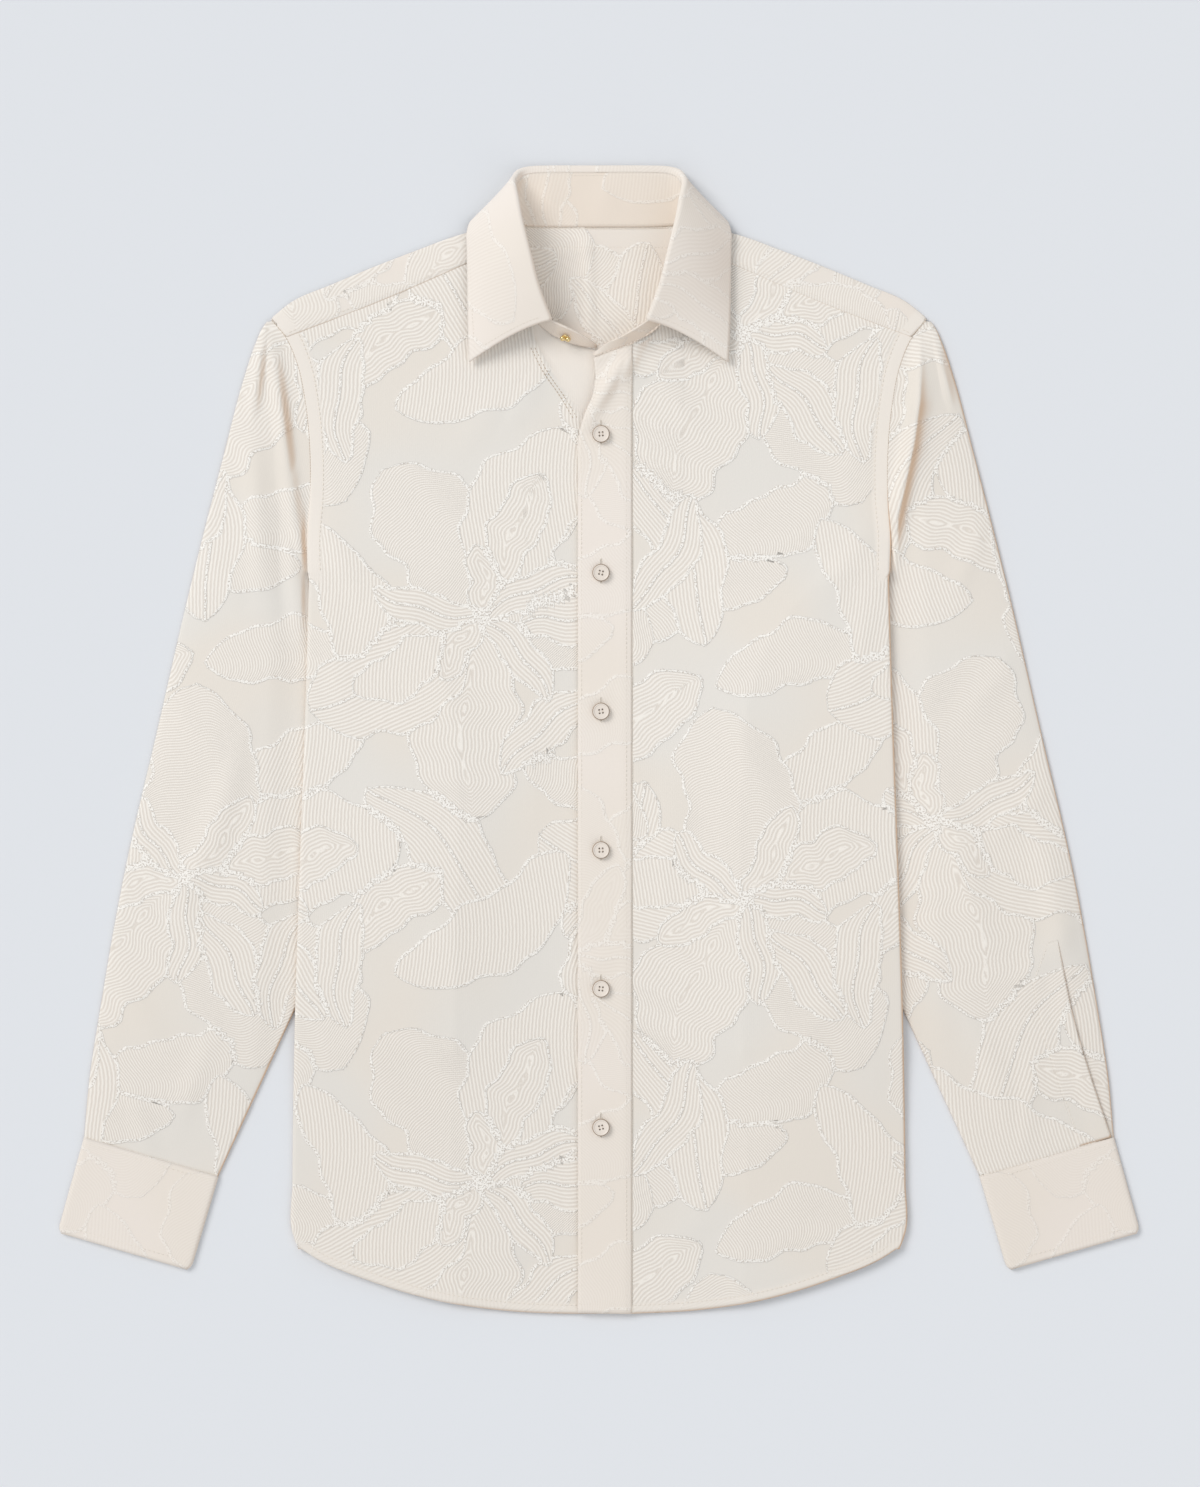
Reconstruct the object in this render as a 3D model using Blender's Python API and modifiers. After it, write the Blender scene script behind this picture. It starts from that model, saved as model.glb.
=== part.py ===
"""A long-sleeved jacquard shirt laid flat on its back, front up, with the collar towards +Y.

Every piece is a wall of cloth. Its plan comes from the outline tables below, which hold one half
of the shirt and are mirrored, and its height from how the plies lie on each other: the sleeves are
tucked under the body, and the body's sides are turned under, so each ply rests on the ones below.
Sizes are in millimetres and become metres when a mesh is made.
"""

import math

import bmesh
import bpy
import numpy as np
from mathutils import Matrix, Vector

MM = 0.001

# Cloth
CLOTH = 1.0  # one ply of jacquard
DOUBLE = 1.7  # collar, cuffs and placket: two plies and what stiffens them
PLY_GAP = 0.35  # air between plies that lie on each other
SEAM_GAP = 0.3  # half of the gap between pieces that are sewn edge to edge
FLAT_BELOW = 0.12  # what is left of a slope under this height lies flat on the floor
PITCH = CLOTH + PLY_GAP

# Main sizes
PLACKET_LEFT, PLACKET_RIGHT = -14.3, 22.4
UNDERLAP = 17.0  # how far the left front runs on under the placket
TURN_UNDER = 80.0  # the width of each side that is turned under the body
NICK_Y = 113.0  # where the armhole seam meets the body's side
YOKE_SEAM_Y = 262.0  # the yoke's seam across the back
SLEEVE_AIR = 2.4  # how much the upper ply of a sleeve stands off the lower one
BUTTON_X, BUTTON_TOP_Y, BUTTON_PITCH, BUTTON_COUNT = 1.4, 209.4, 94.1, 6
BUTTON_RADIUS, BUTTON_THICK, BUTTON_RIM = 5.95, 2.4, 1.1
STUD_PLACE, STUD_NORMAL, STUD_RADIUS = (-22.3, 273.6, 10.9), (-0.35, -0.78, 0.52), 4.1

# Outlines of one half: distance out from the centre line, then height up the page
ARMHOLE = [(197, 113), (197.6, 138), (195.6, 165), (195.6, 195), (198.5, 228), (204.5, 257), (212.5, 275), (223, 287.5)]
BODY_SIDE = [(197, 113), (199, 40), (202.5, -60), (206.3, -176), (208.5, -300), (208.5, -334), (204.5, -345)]
HEM = [(204.5, -345), (194, -350.3), (156, -366.5), (110, -380), (65, -387), (22, -389.2), (0, -389.2)]
SHOULDER = [(61, 350.5), (88, 346), (129, 331.8), (183, 310), (208, 299.2), (223, 287.5)]
YOKE_FRONT = [(61.5, 337.5), (90, 325), (150, 299), (212.5, 275)]
NECK_FRONT = [(61.5, 337.5), (57.5, 317), (49, 298), (39.5, 282), (28, 274), (16, 269), (0, 266)]
NECK_RIGHT = [(61.5, 337.5), (57.5, 317), (49, 298), (40, 281), (PLACKET_RIGHT, 266.2), (11, 262), (-3.4, 257.7)]
SLEEVE_OUTER = [
    (223, 287.5), (229, 280), (233, 271), (241.5, 245.5), (254, 198), (278, 103),
    (300, 7.5), (322, -88), (339, -183), (346.3, -230.5), (349.7, -268.5),
]
SLEEVE_INNER = [
    (197, 113), (196, 98), (184, 72), (168, 25), (164, -35), (172, -95),
    (189, -145), (205.5, -179.5), (239, -252), (259, -295.3),
]
CUFF_TOP = [(259.1, -295.8), (349.5, -269.3)]
CUFF_END = [(278.1, -359.7), (367.6, -334)]
PLACKET_EDGE = [(-3.4, 257.7), (-2.2, 246), (-3.6, 236), (-10.6, 219), (-14.3, 202), (-14.3, 190), (-14.3, -388.4)]
SLEEVE_SLIT = [(311.5, -137), (323, -190), (334, -227), (347.5, -264)]

# The collar's half, from the centre of the back to the leaf's front edge: the seam at the neck,
# the roll line at its top, the middle of the leaf and the leaf's outer edge
COLLAR = [
    # neck x, y, z, roll x, y, z, middle x, y, z, edge x, y, z
    (0, 351.5, 3.6, 0, 390.5, 2.8, 0, 367, 0.95, 0, 344, 0.9),
    (28, 351.5, 3.6, 27, 390.5, 2.8, 28, 367, 0.95, 29, 344, 0.9),
    (46, 352, 3.6, 45.5, 390.0, 3.4, 48, 369, 1.3, 51, 346.5, 0.9),
    (54.5, 353, 3.7, 53.8, 387.6, 6.4, 61, 369, 2.2, 65.5, 350, 1.1),
    (59, 354, 3.8, 57, 383, 12, 68, 368, 4.0, 76, 354.5, 1.6),
    (61, 354, 5.0, 58, 378, 19, 74, 365, 8.5, 86, 353.5, 4.0),
    (61, 349, 5.4, 56, 368, 26, 75, 358, 15, 89.5, 344, 7.4),
    (60.6, 341, 5.4, 53, 352, 30.5, 72.5, 344, 20.5, 89.3, 334, 7.6),
    (60, 328, 5.0, 47.5, 330, 32, 69, 320, 22.5, 89, 310, 7.6),
    (54, 307, 4.8, 41.5, 306.7, 28, 64, 297, 19.5, 88.8, 283, 7.4),
    (43, 285.5, 4.8, 33, 284.2, 21, 58, 275, 15, 87.9, 257, 7.2),
]
# The stand's ends, past the leaves: the seam, then the top edge
LEFT_END = [
    (32, 276.5, 4.6, 22.5, 280, 17.5),
    (19, 270.6, 4.5, 12, 275.3, 13.5),
    (7, 268.2, 4.4, 4, 270.6, 8.6),
    (1.4, 267.6, 4.4, 1.4, 268.9, 5.6),
]
RIGHT_END = [
    (29, 272.2, 5.6, 22.9, 277.9, 18),
    (15.6, 265.2, 5.4, 13.8, 273.2, 15),
    (4, 261.5, 6.0, 4.7, 269.3, 12),
    (-3.4, 259.2, 6.3, -3.2, 263.4, 8.6),
]

# The largest folds of the upper plies. x is not mirrored here.
LEFT_FOLDS = [
    # x0, y0, x1, y1, height, half width
    (-150, -40, -60, -210, 1.6, 22),
    (-170, 60, -90, 130, 1.3, 20),
]
RIGHT_FOLDS = [
    (-8, 226, 30, 272, 3.0, 11),
    (60, 60, 150, -70, 1.5, 24),
    (40, -240, 150, -330, 1.6, 20),
]
SLEEVE_FOLDS = [
    (219, 270, 214, 205, 3.4, 9),
    (214, 205, 203, 138, 3.0, 9),
    (-226, 262, -214, 190, 2.6, 9),
    (-236, 180, -226, 60, 2.0, 12),
    (-250, -20, -285, -120, 2.0, 13),
    (300, -60, 322, -170, 2.2, 10),
    (235, -30, 262, -140, 2.0, 14),
]


def smooth_curve(points, samples=24):
    """A smooth curve through the points, as a function of the share of its length."""
    p = np.array(points, float)
    span = np.linalg.norm(np.diff(p, axis=0), axis=1)[:, None]
    slope = np.diff(p, axis=0) / span
    inner = (slope[:-1] * span[1:] + slope[1:] * span[:-1]) / (span[1:] + span[:-1])
    slopes = np.vstack([slope[:1], inner, slope[-1:]]) if len(p) > 2 else np.vstack([slope, slope])
    t = np.linspace(0, 1, samples, endpoint=False)[:, None]
    spans = [
        a + (b - a) * t**2 * (3 - 2 * t) + d * (u * t * (1 - t) ** 2 - v * t**2 * (1 - t))
        for a, b, d, u, v in zip(p[:-1], p[1:], span, slopes[:-1], slopes[1:])
    ]
    line = np.vstack([*spans, p[-1:]])
    length = np.concatenate([[0], np.cumsum(np.linalg.norm(np.diff(line, axis=0), axis=1))])
    return lambda share: np.stack(
        [np.interp(share, length / length[-1], line[:, k]) for k in range(line.shape[1])], axis=-1
    )


def shares(line):
    """How far along a row of points each one lies, as a share of the whole."""
    step = np.linalg.norm(np.diff(line, axis=0), axis=1)
    return np.concatenate([[0], np.cumsum(step)]) / step.sum()


def coons(top, bottom, left, right):
    """The patch between four rows of points: two that run across, and two that run down."""
    s, t = shares(bottom)[None, :, None], shares(left)[:, None, None]
    sides = (1 - s) * left[:, None] + s * right[:, None]
    ends = (1 - t) * top[None] + t * bottom[None]
    twist = (1 - t) * ((1 - s) * top[0] + s * top[-1]) + t * ((1 - s) * bottom[0] + s * bottom[-1])
    return sides + ends - twist


def table(rows, by=1):
    """The other column of an outline as a function of one, for any order of its rows."""
    rows = sorted((row[by], row[1 - by]) for row in rows)
    keys, values = zip(*rows)
    return lambda v: np.interp(v, keys, values)


def ridge(x, y, folds):
    """The height that soft folds add at each place."""
    rise = np.zeros(np.shape(x))
    for x0, y0, x1, y1, height, half in folds:
        along = np.hypot(x1 - x0, y1 - y0)
        u = ((x - x0) * (x1 - x0) + (y - y0) * (y1 - y0)) / along**2
        off = np.hypot(x - x0 - np.clip(u, 0, 1) * (x1 - x0), y - y0 - np.clip(u, 0, 1) * (y1 - y0))
        fade = np.sin(math.pi * np.clip(u, 0.04, 0.96)) ** 0.6
        rise = np.maximum(rise, height * fade * np.exp(-((off / half) ** 2)))
    return rise


class Plies:
    """How high each ply lies: a grid of heights over the plan, to which plies are added in turn."""

    CELL, REACH_X, REACH_Y, SOFTEN = 2.5, 400.0, 420.0, 220

    def __init__(self):
        self.xs = np.arange(-self.REACH_X, self.REACH_X + 1, self.CELL)
        self.ys = np.arange(-self.REACH_Y, self.REACH_Y + 1, self.CELL)
        self.x, self.y = np.meshgrid(self.xs, self.ys)
        self.top = np.zeros(self.x.shape)

    def near(self, field, pick):
        """The largest or mean value within one cell of each place."""
        wide = np.pad(field, 1, mode="edge")
        rows, cols = field.shape
        return pick([wide[i : i + rows, j : j + cols] for i in range(3) for j in range(3)], axis=0)

    def lay(self, covers, thickness, folds=()):
        """Lays one ply where covers is true, and returns a function for the height of its middle."""
        rest = self.near(np.where(self.top > 0, self.top + PLY_GAP, 0), np.max)
        rest = rest + ridge(self.x, self.y, folds)
        sheet = rest
        for _ in range(self.SOFTEN):
            sheet = np.maximum(rest, self.near(sheet, np.mean))
        sheet = np.maximum(rest, sheet - FLAT_BELOW)
        self.top = np.where(self.near(covers, np.max), sheet + thickness, self.top)
        middle = sheet + thickness / 2
        return lambda x, y: self.read(middle, x, y)

    def read(self, field, x, y):
        i = (np.asarray(y) + self.REACH_Y) / self.CELL
        j = (np.asarray(x) + self.REACH_X) / self.CELL
        i0, j0 = np.floor(i).astype(int), np.floor(j).astype(int)
        u, v = i - i0, j - j0
        low = field[i0, j0] * (1 - v) + field[i0, j0 + 1] * v
        high = field[i0 + 1, j0] * (1 - v) + field[i0 + 1, j0 + 1] * v
        return low * (1 - u) + high * u


def turned_width(y):
    """How wide the turned side is: nothing at the underarm, then growing to its full width."""
    return TURN_UNDER * (1 - np.exp(-np.maximum(NICK_Y - y, 0) / 45))


def stack_up():
    """Every ply's height, from the floor up."""
    plies = Plies()
    x, y = np.abs(plies.x), plies.y
    half = np.where(y < NICK_Y, table(BODY_SIDE)(y), table(ARMHOLE)(y))
    shoulder, hem = table(SHOULDER, 0)(x), table(HEM, 0)(x)
    body = (x < half) & (y > hem) & (y < shoulder)
    under = (y < NICK_Y - 2) & (y > hem) & (x < half)
    turned = under & (x > half - turned_width(y) - 22)
    heights = {}
    fall = (x < 66) & (y > 342) & (y < 392)
    plies.lay(fall, DOUBLE)
    tucked = (y < NICK_Y + 4) & (y > -200) & (x < half) & (x > half - TURN_UNDER - 25)
    for _ in range(2):
        plies.lay(tucked, CLOTH)
    heights["front under"] = plies.lay(turned, CLOTH)
    heights["back under"] = plies.lay(turned, CLOTH)
    heights["back"] = plies.lay(body & ((x > 61) | (y < 351)), CLOTH)
    neck = np.where(x < 61.5, table(NECK_FRONT, 0)(-plies.x), 999)
    left = body & (plies.x < UNDERLAP) & (y < neck)
    heights["left"] = plies.lay(left, CLOTH, LEFT_FOLDS)
    neck = np.where(x < 61.5, table(NECK_RIGHT, 0)(plies.x), 999)
    right = body & (plies.x > PLACKET_LEFT) & (y < neck)
    heights["right"] = plies.lay(right, CLOTH, RIGHT_FOLDS)
    return heights


def side_width(y):
    """How far out the body's edge is: the armhole above the underarm, the folded side below."""
    return np.where(y < NICK_Y, table(BODY_SIDE)(y), table(ARMHOLE)(y))


def sleeve_height(x, y):
    """The middle of a sleeve's upper ply. It is pressed flat where the body covers it."""
    out = np.abs(x)
    inner = np.where(y < NICK_Y, table(SLEEVE_INNER)(y), table(ARMHOLE)(y))
    share = np.clip((out - inner) / (table(SLEEVE_OUTER)(y) - inner), 0, 1)
    free = np.clip((out - side_width(y) - 12) / 25, 0, 1)
    free = free * free * (3 - 2 * free)
    near_cuff = np.clip((y + 296) / 60, 0.25, 1)
    air = SLEEVE_AIR * np.sqrt(np.sin(math.pi * share)) * near_cuff
    return CLOTH / 2 + PITCH + free * (air + ridge(x, y, SLEEVE_FOLDS))


class Wall:
    """A piece of cloth: grids of points on its middle surface, welded and given a thickness."""

    def __init__(self, name, thickness, material):
        self.name, self.thickness, self.material = name, thickness, material
        self.bm = bmesh.new()

    def add(self, grid):
        """Faces between neighbouring points of a grid. Grids that share points are welded later."""
        verts = [[self.bm.verts.new(p) for p in row] for row in np.array(grid, float) * MM]
        for above, below in zip(verts, verts[1:]):
            for a, b, c, d in zip(above, above[1:], below[1:], below):
                self.bm.faces.new((a, b, c, d))
        return self

    def finish(self, even=True):
        bmesh.ops.remove_doubles(self.bm, verts=self.bm.verts[:], dist=0.01 * MM)
        bmesh.ops.recalc_face_normals(self.bm, faces=self.bm.faces[:])
        mesh = bpy.data.meshes.new(self.name)
        self.bm.to_mesh(mesh)
        self.bm.free()
        obj = place(self.name, mesh, self.material)
        wall = obj.modifiers.new("cloth", "SOLIDIFY")
        wall.thickness, wall.offset, wall.use_even_offset = self.thickness * MM, 0, even
        return obj


def place(name, mesh, material):
    """An object for a mesh, in the shirt's collection."""
    obj = bpy.data.objects.new(name, mesh)
    mesh.materials.append(material)
    bpy.data.collections["jacquard_shirt"].objects.link(obj)
    return obj


def make_material(name, rgb, roughness, metallic=0.0):
    material = bpy.data.materials.new(name)
    material.use_nodes = True
    shader = material.node_tree.nodes["Principled BSDF"]
    shader.inputs["Base Color"].default_value = [(c / 255) ** 2.2 for c in rgb] + [1]
    shader.inputs["Roughness"].default_value = roughness
    shader.inputs["Metallic"].default_value = metallic
    return material


def lifted(plan, height, side=1):
    """Plan points (out, up) as points of the shirt, at the height that a ply has there."""
    x, y = side * plan[..., 0], plan[..., 1]
    return np.stack([x, y, height(x, y)], axis=-1)


def between(curve_points, heights):
    """Points of a smooth line at the given heights up the page."""
    line = smooth_curve(curve_points)(np.linspace(0, 1, 600))
    line = line[np.argsort(line[:, 1])]
    heights = np.array(heights, float)
    return np.stack([np.interp(heights, line[:, 1], line[:, 0]), heights], axis=-1)


# Heights of the rows of points down a body panel: the armhole's, which the sleeve shares, then the
# side's, of which the first lies just below the underarm, where the sides begin to turn under
YOKE_ROWS = (286.3, 281, 275, 268.5, YOKE_SEAM_Y)
ARM_ROWS = (275, YOKE_SEAM_Y, 237, 212, 187, 162, 137, NICK_Y)
SIDE_ROWS = (109, 92, 66, 38, 8, -24, -56, -88, -120, -152, -184, -216, -248, -280, -312, -345)
TUCK = CLOTH / 2 + 1.5 * PITCH  # from the body's edge to where a panel begins to turn under


def side_line(arm_rows):
    """The outer edge of a body panel: the armhole at arm_rows, then the side down to the hem."""
    return np.vstack([between(ARMHOLE, arm_rows) - (SEAM_GAP, 0), between(BODY_SIDE, SIDE_ROWS) - (TUCK, 0)])


def turned_side(edge, side, lower, reach, steps):
    """The columns past a panel's last one: round the fold, then back under the body.

    edge holds the last column's points, lower is the height of the ply underneath, and reach is
    how far the fold's middle stands out past them.
    """
    x, y, z = np.abs(edge[:, 0]), edge[:, 1], edge[:, 2]
    low = lower(edge[:, 0], y)
    columns = []
    for angle in np.linspace(0, math.pi, steps + 1):
        columns.append((x + reach * math.sin(angle), y, (z + low) / 2 + (z - low) / 2 * math.cos(angle)))
    width = turned_width(y) - TUCK
    hem_rise = 35 * np.clip((-200 - y) / 145, 0, 1)
    for share in (1 / 3, 2 / 3, 1):
        at_x, at_y = x - width * share, y + hem_rise * share
        columns.append((at_x, at_y, lower(side * at_x, at_y)))
    return np.stack([np.stack([side * a, b, c], axis=-1) for a, b, c in columns], axis=1)


def front_plan(neck, centre):
    """A front in the plan, from its outer edge to the line centre, below its part of the neck."""
    outer = side_line(ARM_ROWS)
    seam = smooth_curve(YOKE_FRONT[::-1])(np.linspace(0, 1, 10)) - (0, SEAM_GAP)
    round_neck = smooth_curve(neck)(np.linspace(0, 1, 7))[1:]
    top = np.vstack([seam, round_neck])
    hem = smooth_curve([tuple(outer[-1])] + [p for p in HEM[1:] if p[0] > centre[-1][0]] + [centre[-1]])
    bottom = hem(np.linspace(0, 1, len(top)))
    return coons(top, bottom, outer, smooth_curve(centre)(shares(outer)))


def add_front(wall, plan, side, height, under):
    """A front's points at their heights, and the part of it that is turned under the body."""
    grid = lifted(plan, height, side)
    wall.add(grid)
    wall.add(turned_side(grid[len(ARM_ROWS) :, 0], side, under, TUCK - CLOTH / 2, 4))


def front_left(heights, material):
    """The front that lies under the placket, from the yoke seam to the hem."""
    end = (-UNDERLAP, NECK_FRONT[-1][1])
    plan = front_plan(NECK_FRONT + [end], [end, (-UNDERLAP, HEM[-1][1])])
    wall = Wall("front_left", CLOTH, material)
    add_front(wall, plan, -1, heights["left"], heights["front under"])
    return wall.finish()


def placket_plan(edge_inset=0.0):
    """The placket in the plan, from its stitched side to its free edge."""
    rows = shares(side_line(ARM_ROWS))
    stitched = smooth_curve([NECK_RIGHT[-3], (PLACKET_RIGHT, HEM[-2][1])])(rows)
    free = smooth_curve(PLACKET_EDGE)(rows) + (edge_inset, 0)
    across = np.linspace(0, 1, 5)
    top = smooth_curve(NECK_RIGHT[-3:])(across)
    return coons(top + across[:, None] * (edge_inset, 0), stitched[-1] + across[:, None] * (free[-1] - stitched[-1]), stitched, free)


def front_right(heights, material):
    """The front that carries the placket, from the yoke seam to the hem."""
    centre = [NECK_RIGHT[-3], (PLACKET_RIGHT, HEM[-2][1])]
    wall = Wall("front_right", CLOTH, material)
    add_front(wall, front_plan(NECK_RIGHT[:-2], centre), 1, heights["right"], heights["front under"])
    wall.add(lifted(placket_plan(1.2), heights["right"]))
    return wall.finish()


def placket(heights, material):
    """The band down the right front's edge, over both fronts. It carries the buttonholes."""
    on_front = lambda x, y: heights["right"](x, y) + (CLOTH + DOUBLE) / 2 + PLY_GAP
    return Wall("placket", DOUBLE, material).add(lifted(placket_plan(), on_front)).finish()


def back(heights, material):
    """The back below the yoke, with both sides turned under inside the fronts' folds."""
    right = side_line(ARM_ROWS[1:])
    right[0, 1] -= SEAM_GAP
    hem = smooth_curve([tuple(right[-1])] + HEM[1:])(np.linspace(1, 0, 9)) + (0, 3)
    bottom = np.vstack([(hem * (-1, 1))[:0:-1], hem])
    top = np.linspace(right[0] * (-1, 1), right[0], len(bottom))
    grid = lifted(coons(top, bottom, right * (-1, 1), right), heights["back"])
    wall = Wall("back", CLOTH, material).add(grid)
    for side, column in ((-1, 0), (1, -1)):
        edge = grid[len(ARM_ROWS) - 1 :, column]
        wall.add(turned_side(edge, side, heights["back under"], PITCH / 2, 2))
    return wall.finish()


def yoke(heights, material):
    """One piece over both shoulders: the back's upper part, and a flap on each front."""
    flap_cells, neck_cells, fold = 8, 6, CLOTH / 2 + PITCH / 2
    on_floor = lambda x, y: heights["back"](x, y) + 0.03
    edge = smooth_curve(SHOULDER[::-1])(np.linspace(0, 1, flap_cells + 1))
    turned = edge - (0, fold)
    side_rows = between(ARMHOLE, YOKE_ROWS) - (SEAM_GAP, 0)
    side_rows[-1, 1] += SEAM_GAP
    turned[0] = side_rows[0]
    neck = np.linspace(turned[-1] * (-1, 1), turned[-1], neck_cells + 1)[1:-1] + (0, fold)
    top = np.vstack([turned * (-1, 1), neck, turned[::-1]])
    bottom = np.linspace(side_rows[-1] * (-1, 1), side_rows[-1], len(top))
    plan = coons(top, bottom, side_rows * (-1, 1), side_rows)
    wall = Wall("yoke", CLOTH, material).add(lifted(plan, on_floor))
    seam = smooth_curve(YOKE_FRONT[::-1])(np.linspace(0, 1, flap_cells + 1)) + (0, SEAM_GAP)
    seam[0] -= (SEAM_GAP, 0)
    for side, ply in ((-1, "left"), (1, "right")):
        low = lifted(turned, on_floor, side)
        high = lifted(turned, heights[ply], side)
        middle = (low + high) / 2
        middle[:, 1] = edge[:, 1] - CLOTH / 2
        flat = lifted((turned + seam) / 2, heights[ply], side)
        wall.add(np.stack([low, middle, high, flat, lifted(seam, heights[ply], side)], axis=0))
    return wall.finish()


def flat_tube(name, inner, outer, cells, side, upper, thickness, material, open_rows=0):
    """A tube of cloth that lies flat: an upper and a lower ply joined round both edges.

    inner and outer are its edges, in rows of points that face each other. The first open_rows
    rows are open along the inner edge, where the sleeve meets the armhole.
    """
    across = outer - inner
    width = np.linalg.norm(across, axis=1, keepdims=True)
    bend = across / width * np.minimum(thickness * 2, width / 5)
    share = np.linspace(0, 1, cells + 1)[None, :, None]
    inside = (1 - share) * (inner + bend)[:, None] + share * (outer - bend)[:, None]
    flat = np.concatenate([inner[:, None], inside, outer[:, None]], axis=1)
    top_z = upper(flat[..., 0], flat[..., 1])
    low_z = np.full(top_z.shape, thickness / 2)
    middle = (top_z + low_z) / 2
    for z in (top_z, low_z):
        z[:, -1] = middle[:, -1]
        z[open_rows:, 0] = middle[open_rows:, 0]
    top = np.concatenate([flat, top_z[..., None]], axis=-1)
    low = np.concatenate([flat, low_z[..., None]], axis=-1)[:, -2::-1]
    tube = Wall(name, thickness, material)
    tube.add((np.concatenate([top, low], axis=1) * (side, 1, 1))[:, ::-side])
    return tube.finish(even=False)


def sleeve(name, side, material):
    """A sleeve from the armhole to the cuff, tucked under the body below the underarm."""
    seam = between(ARMHOLE, (285.5,) + ARM_ROWS) + (SEAM_GAP, 0)
    inner = smooth_curve(SLEEVE_INNER)(np.linspace(0, 1, 17)[1:] ** 1.1)
    inner = np.vstack([seam, inner])
    outer_line = smooth_curve([(225.6, 284.8)] + SLEEVE_OUTER[1:])
    outer = outer_line(shares(inner))
    height = lambda x, y: sleeve_height(side * x, y)
    return flat_tube(name, inner, outer, 7, side, height, CLOTH, material, open_rows=len(seam) - 1)


def cuff(name, side, material):
    """A stiff band round the sleeve's end, lying flat."""
    down = np.linspace(0, 1, 4)[:, None]
    inner, outer = [(1 - down) * a + down * b for a, b in zip(np.array(CUFF_TOP), np.array(CUFF_END))]
    level = lambda x, y: np.full(np.shape(x), DOUBLE * 1.5 + PLY_GAP)
    return flat_tube(name, inner, outer, 6, side, level, DOUBLE, material)


def sleeve_placket(name, side, material):
    """The strip along the sleeve's slit. It lies on the sleeve, and its outer edge is free."""
    width, rows, columns = 22.0, 8, 3
    edge = smooth_curve(SLEEVE_SLIT)(np.linspace(0, 1, rows + 1))
    narrow = np.minimum(np.linspace(0, 1, rows + 1) * 6, 1) * 0.7 + 0.3
    inward = np.linspace(0, 1, columns + 1)[None, :] * width * narrow[:, None]
    plan = np.stack([edge[:, :1] - inward, edge[:, 1:] - 0.27 * inward], axis=-1)
    on_sleeve = lambda x, y: sleeve_height(x, y) + PITCH + 0.2
    return Wall(name, CLOTH, material).add(lifted(plan, on_sleeve, side)).finish()


def collar_lines():
    """The collar's four lines, each from the left leaf's front edge to the right one's."""
    half = np.array(COLLAR, float).reshape(len(COLLAR), 4, 3)
    whole = np.concatenate([(half * (-1, 1, 1))[:0:-1], half])
    share = np.linspace(0, 1, 49)
    spline = smooth_curve_by_row(whole.reshape(len(whole), 12))
    return [spline(share)[:, 3 * k : 3 * k + 3] for k in range(4)]


def smooth_curve_by_row(points):
    """A Catmull-Rom curve that reaches each point at an even share."""
    p = np.vstack([2 * points[0] - points[1], points, 2 * points[-1] - points[-2]])

    def at(share):
        place = np.clip(np.asarray(share) * (len(points) - 1), 0, len(points) - 1 - 1e-9)
        i = place.astype(int)
        t = (place - i)[:, None]
        a, b, c, d = p[i], p[i + 1], p[i + 2], p[i + 3]
        return 0.5 * (2 * b + (c - a) * t + (2 * a - 5 * b + 4 * c - d) * t**2 + (3 * b - a - 3 * c + d) * t**3)

    return at


ROLL_UP, ROLL_BEND = 2.8, DOUBLE / 2 + 0.85  # the leaf's strip inside the roll line, and its bend


def unit(v):
    return v / np.linalg.norm(v, axis=-1, keepdims=True)


def roll_frame(neck, roll, middle):
    """At each place along the collar: the stand's top edge, its direction, and the way out from it."""
    rise = unit(roll - neck)
    out = middle - roll
    out = unit(out - (out * rise).sum(-1, keepdims=True) * rise)
    return roll - (ROLL_UP + ROLL_BEND) * rise - ROLL_BEND * out, rise, out


def collar_stand(material):
    """The band that stands up from the neck, to its open ends at the front."""
    neck, roll, middle, _ = collar_lines()
    top, _, out = roll_frame(neck, roll, middle)
    left = np.array(LEFT_END, float).reshape(-1, 2, 3)[::-1] * (-1, 1, 1)
    right = np.array(RIGHT_END, float).reshape(-1, 2, 3)
    neck = np.vstack([left[:, 0], neck, right[:, 0]])
    top = np.vstack([left[:, 1], top, right[:, 1]])
    share = np.linspace(0, 1, 5)[:, None, None]
    return Wall("collar_stand", DOUBLE, material).add((1 - share) * neck + share * top).finish()


def collar_leaf(material):
    """The leaf: from the stand's top edge over the roll line and down to its outer edge."""
    neck, roll, middle, edge = collar_lines()
    top, rise, out = roll_frame(neck, roll, middle)
    rows = [top + 1.0 * rise, top + ROLL_UP * rise]
    centre = rows[-1] + ROLL_BEND * out
    for angle in (45, 95, 140):
        a = math.radians(angle)
        rows.append(centre + ROLL_BEND * (math.sin(a) * rise - math.cos(a) * out))
    start = rows[-1]
    for share in (0.25, 0.5, 0.75, 1.0):
        bow = 4 * share * (1 - share) * (middle - (start + edge) / 2)
        rows.append(start + share * (edge - start) + bow)
    return Wall("collar_leaf", DOUBLE, material).add(np.stack(rows)).finish()


def turned(name, profile, material, steps):
    """A round piece from a profile that runs from its top's middle down to its foot."""
    mesh = bpy.data.meshes.new(name)
    points = [(r * MM, 0, z * MM) for r, z in profile]
    mesh.from_pydata(points, [(i, i + 1) for i in range(len(points) - 1)], [])
    obj = place(name, mesh, material)
    screw = obj.modifiers.new("turn", "SCREW")
    screw.steps = screw.render_steps = steps
    screw.use_merge_vertices, screw.merge_threshold = True, 0.00001
    screw.use_normal_calculate = True
    return obj


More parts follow.
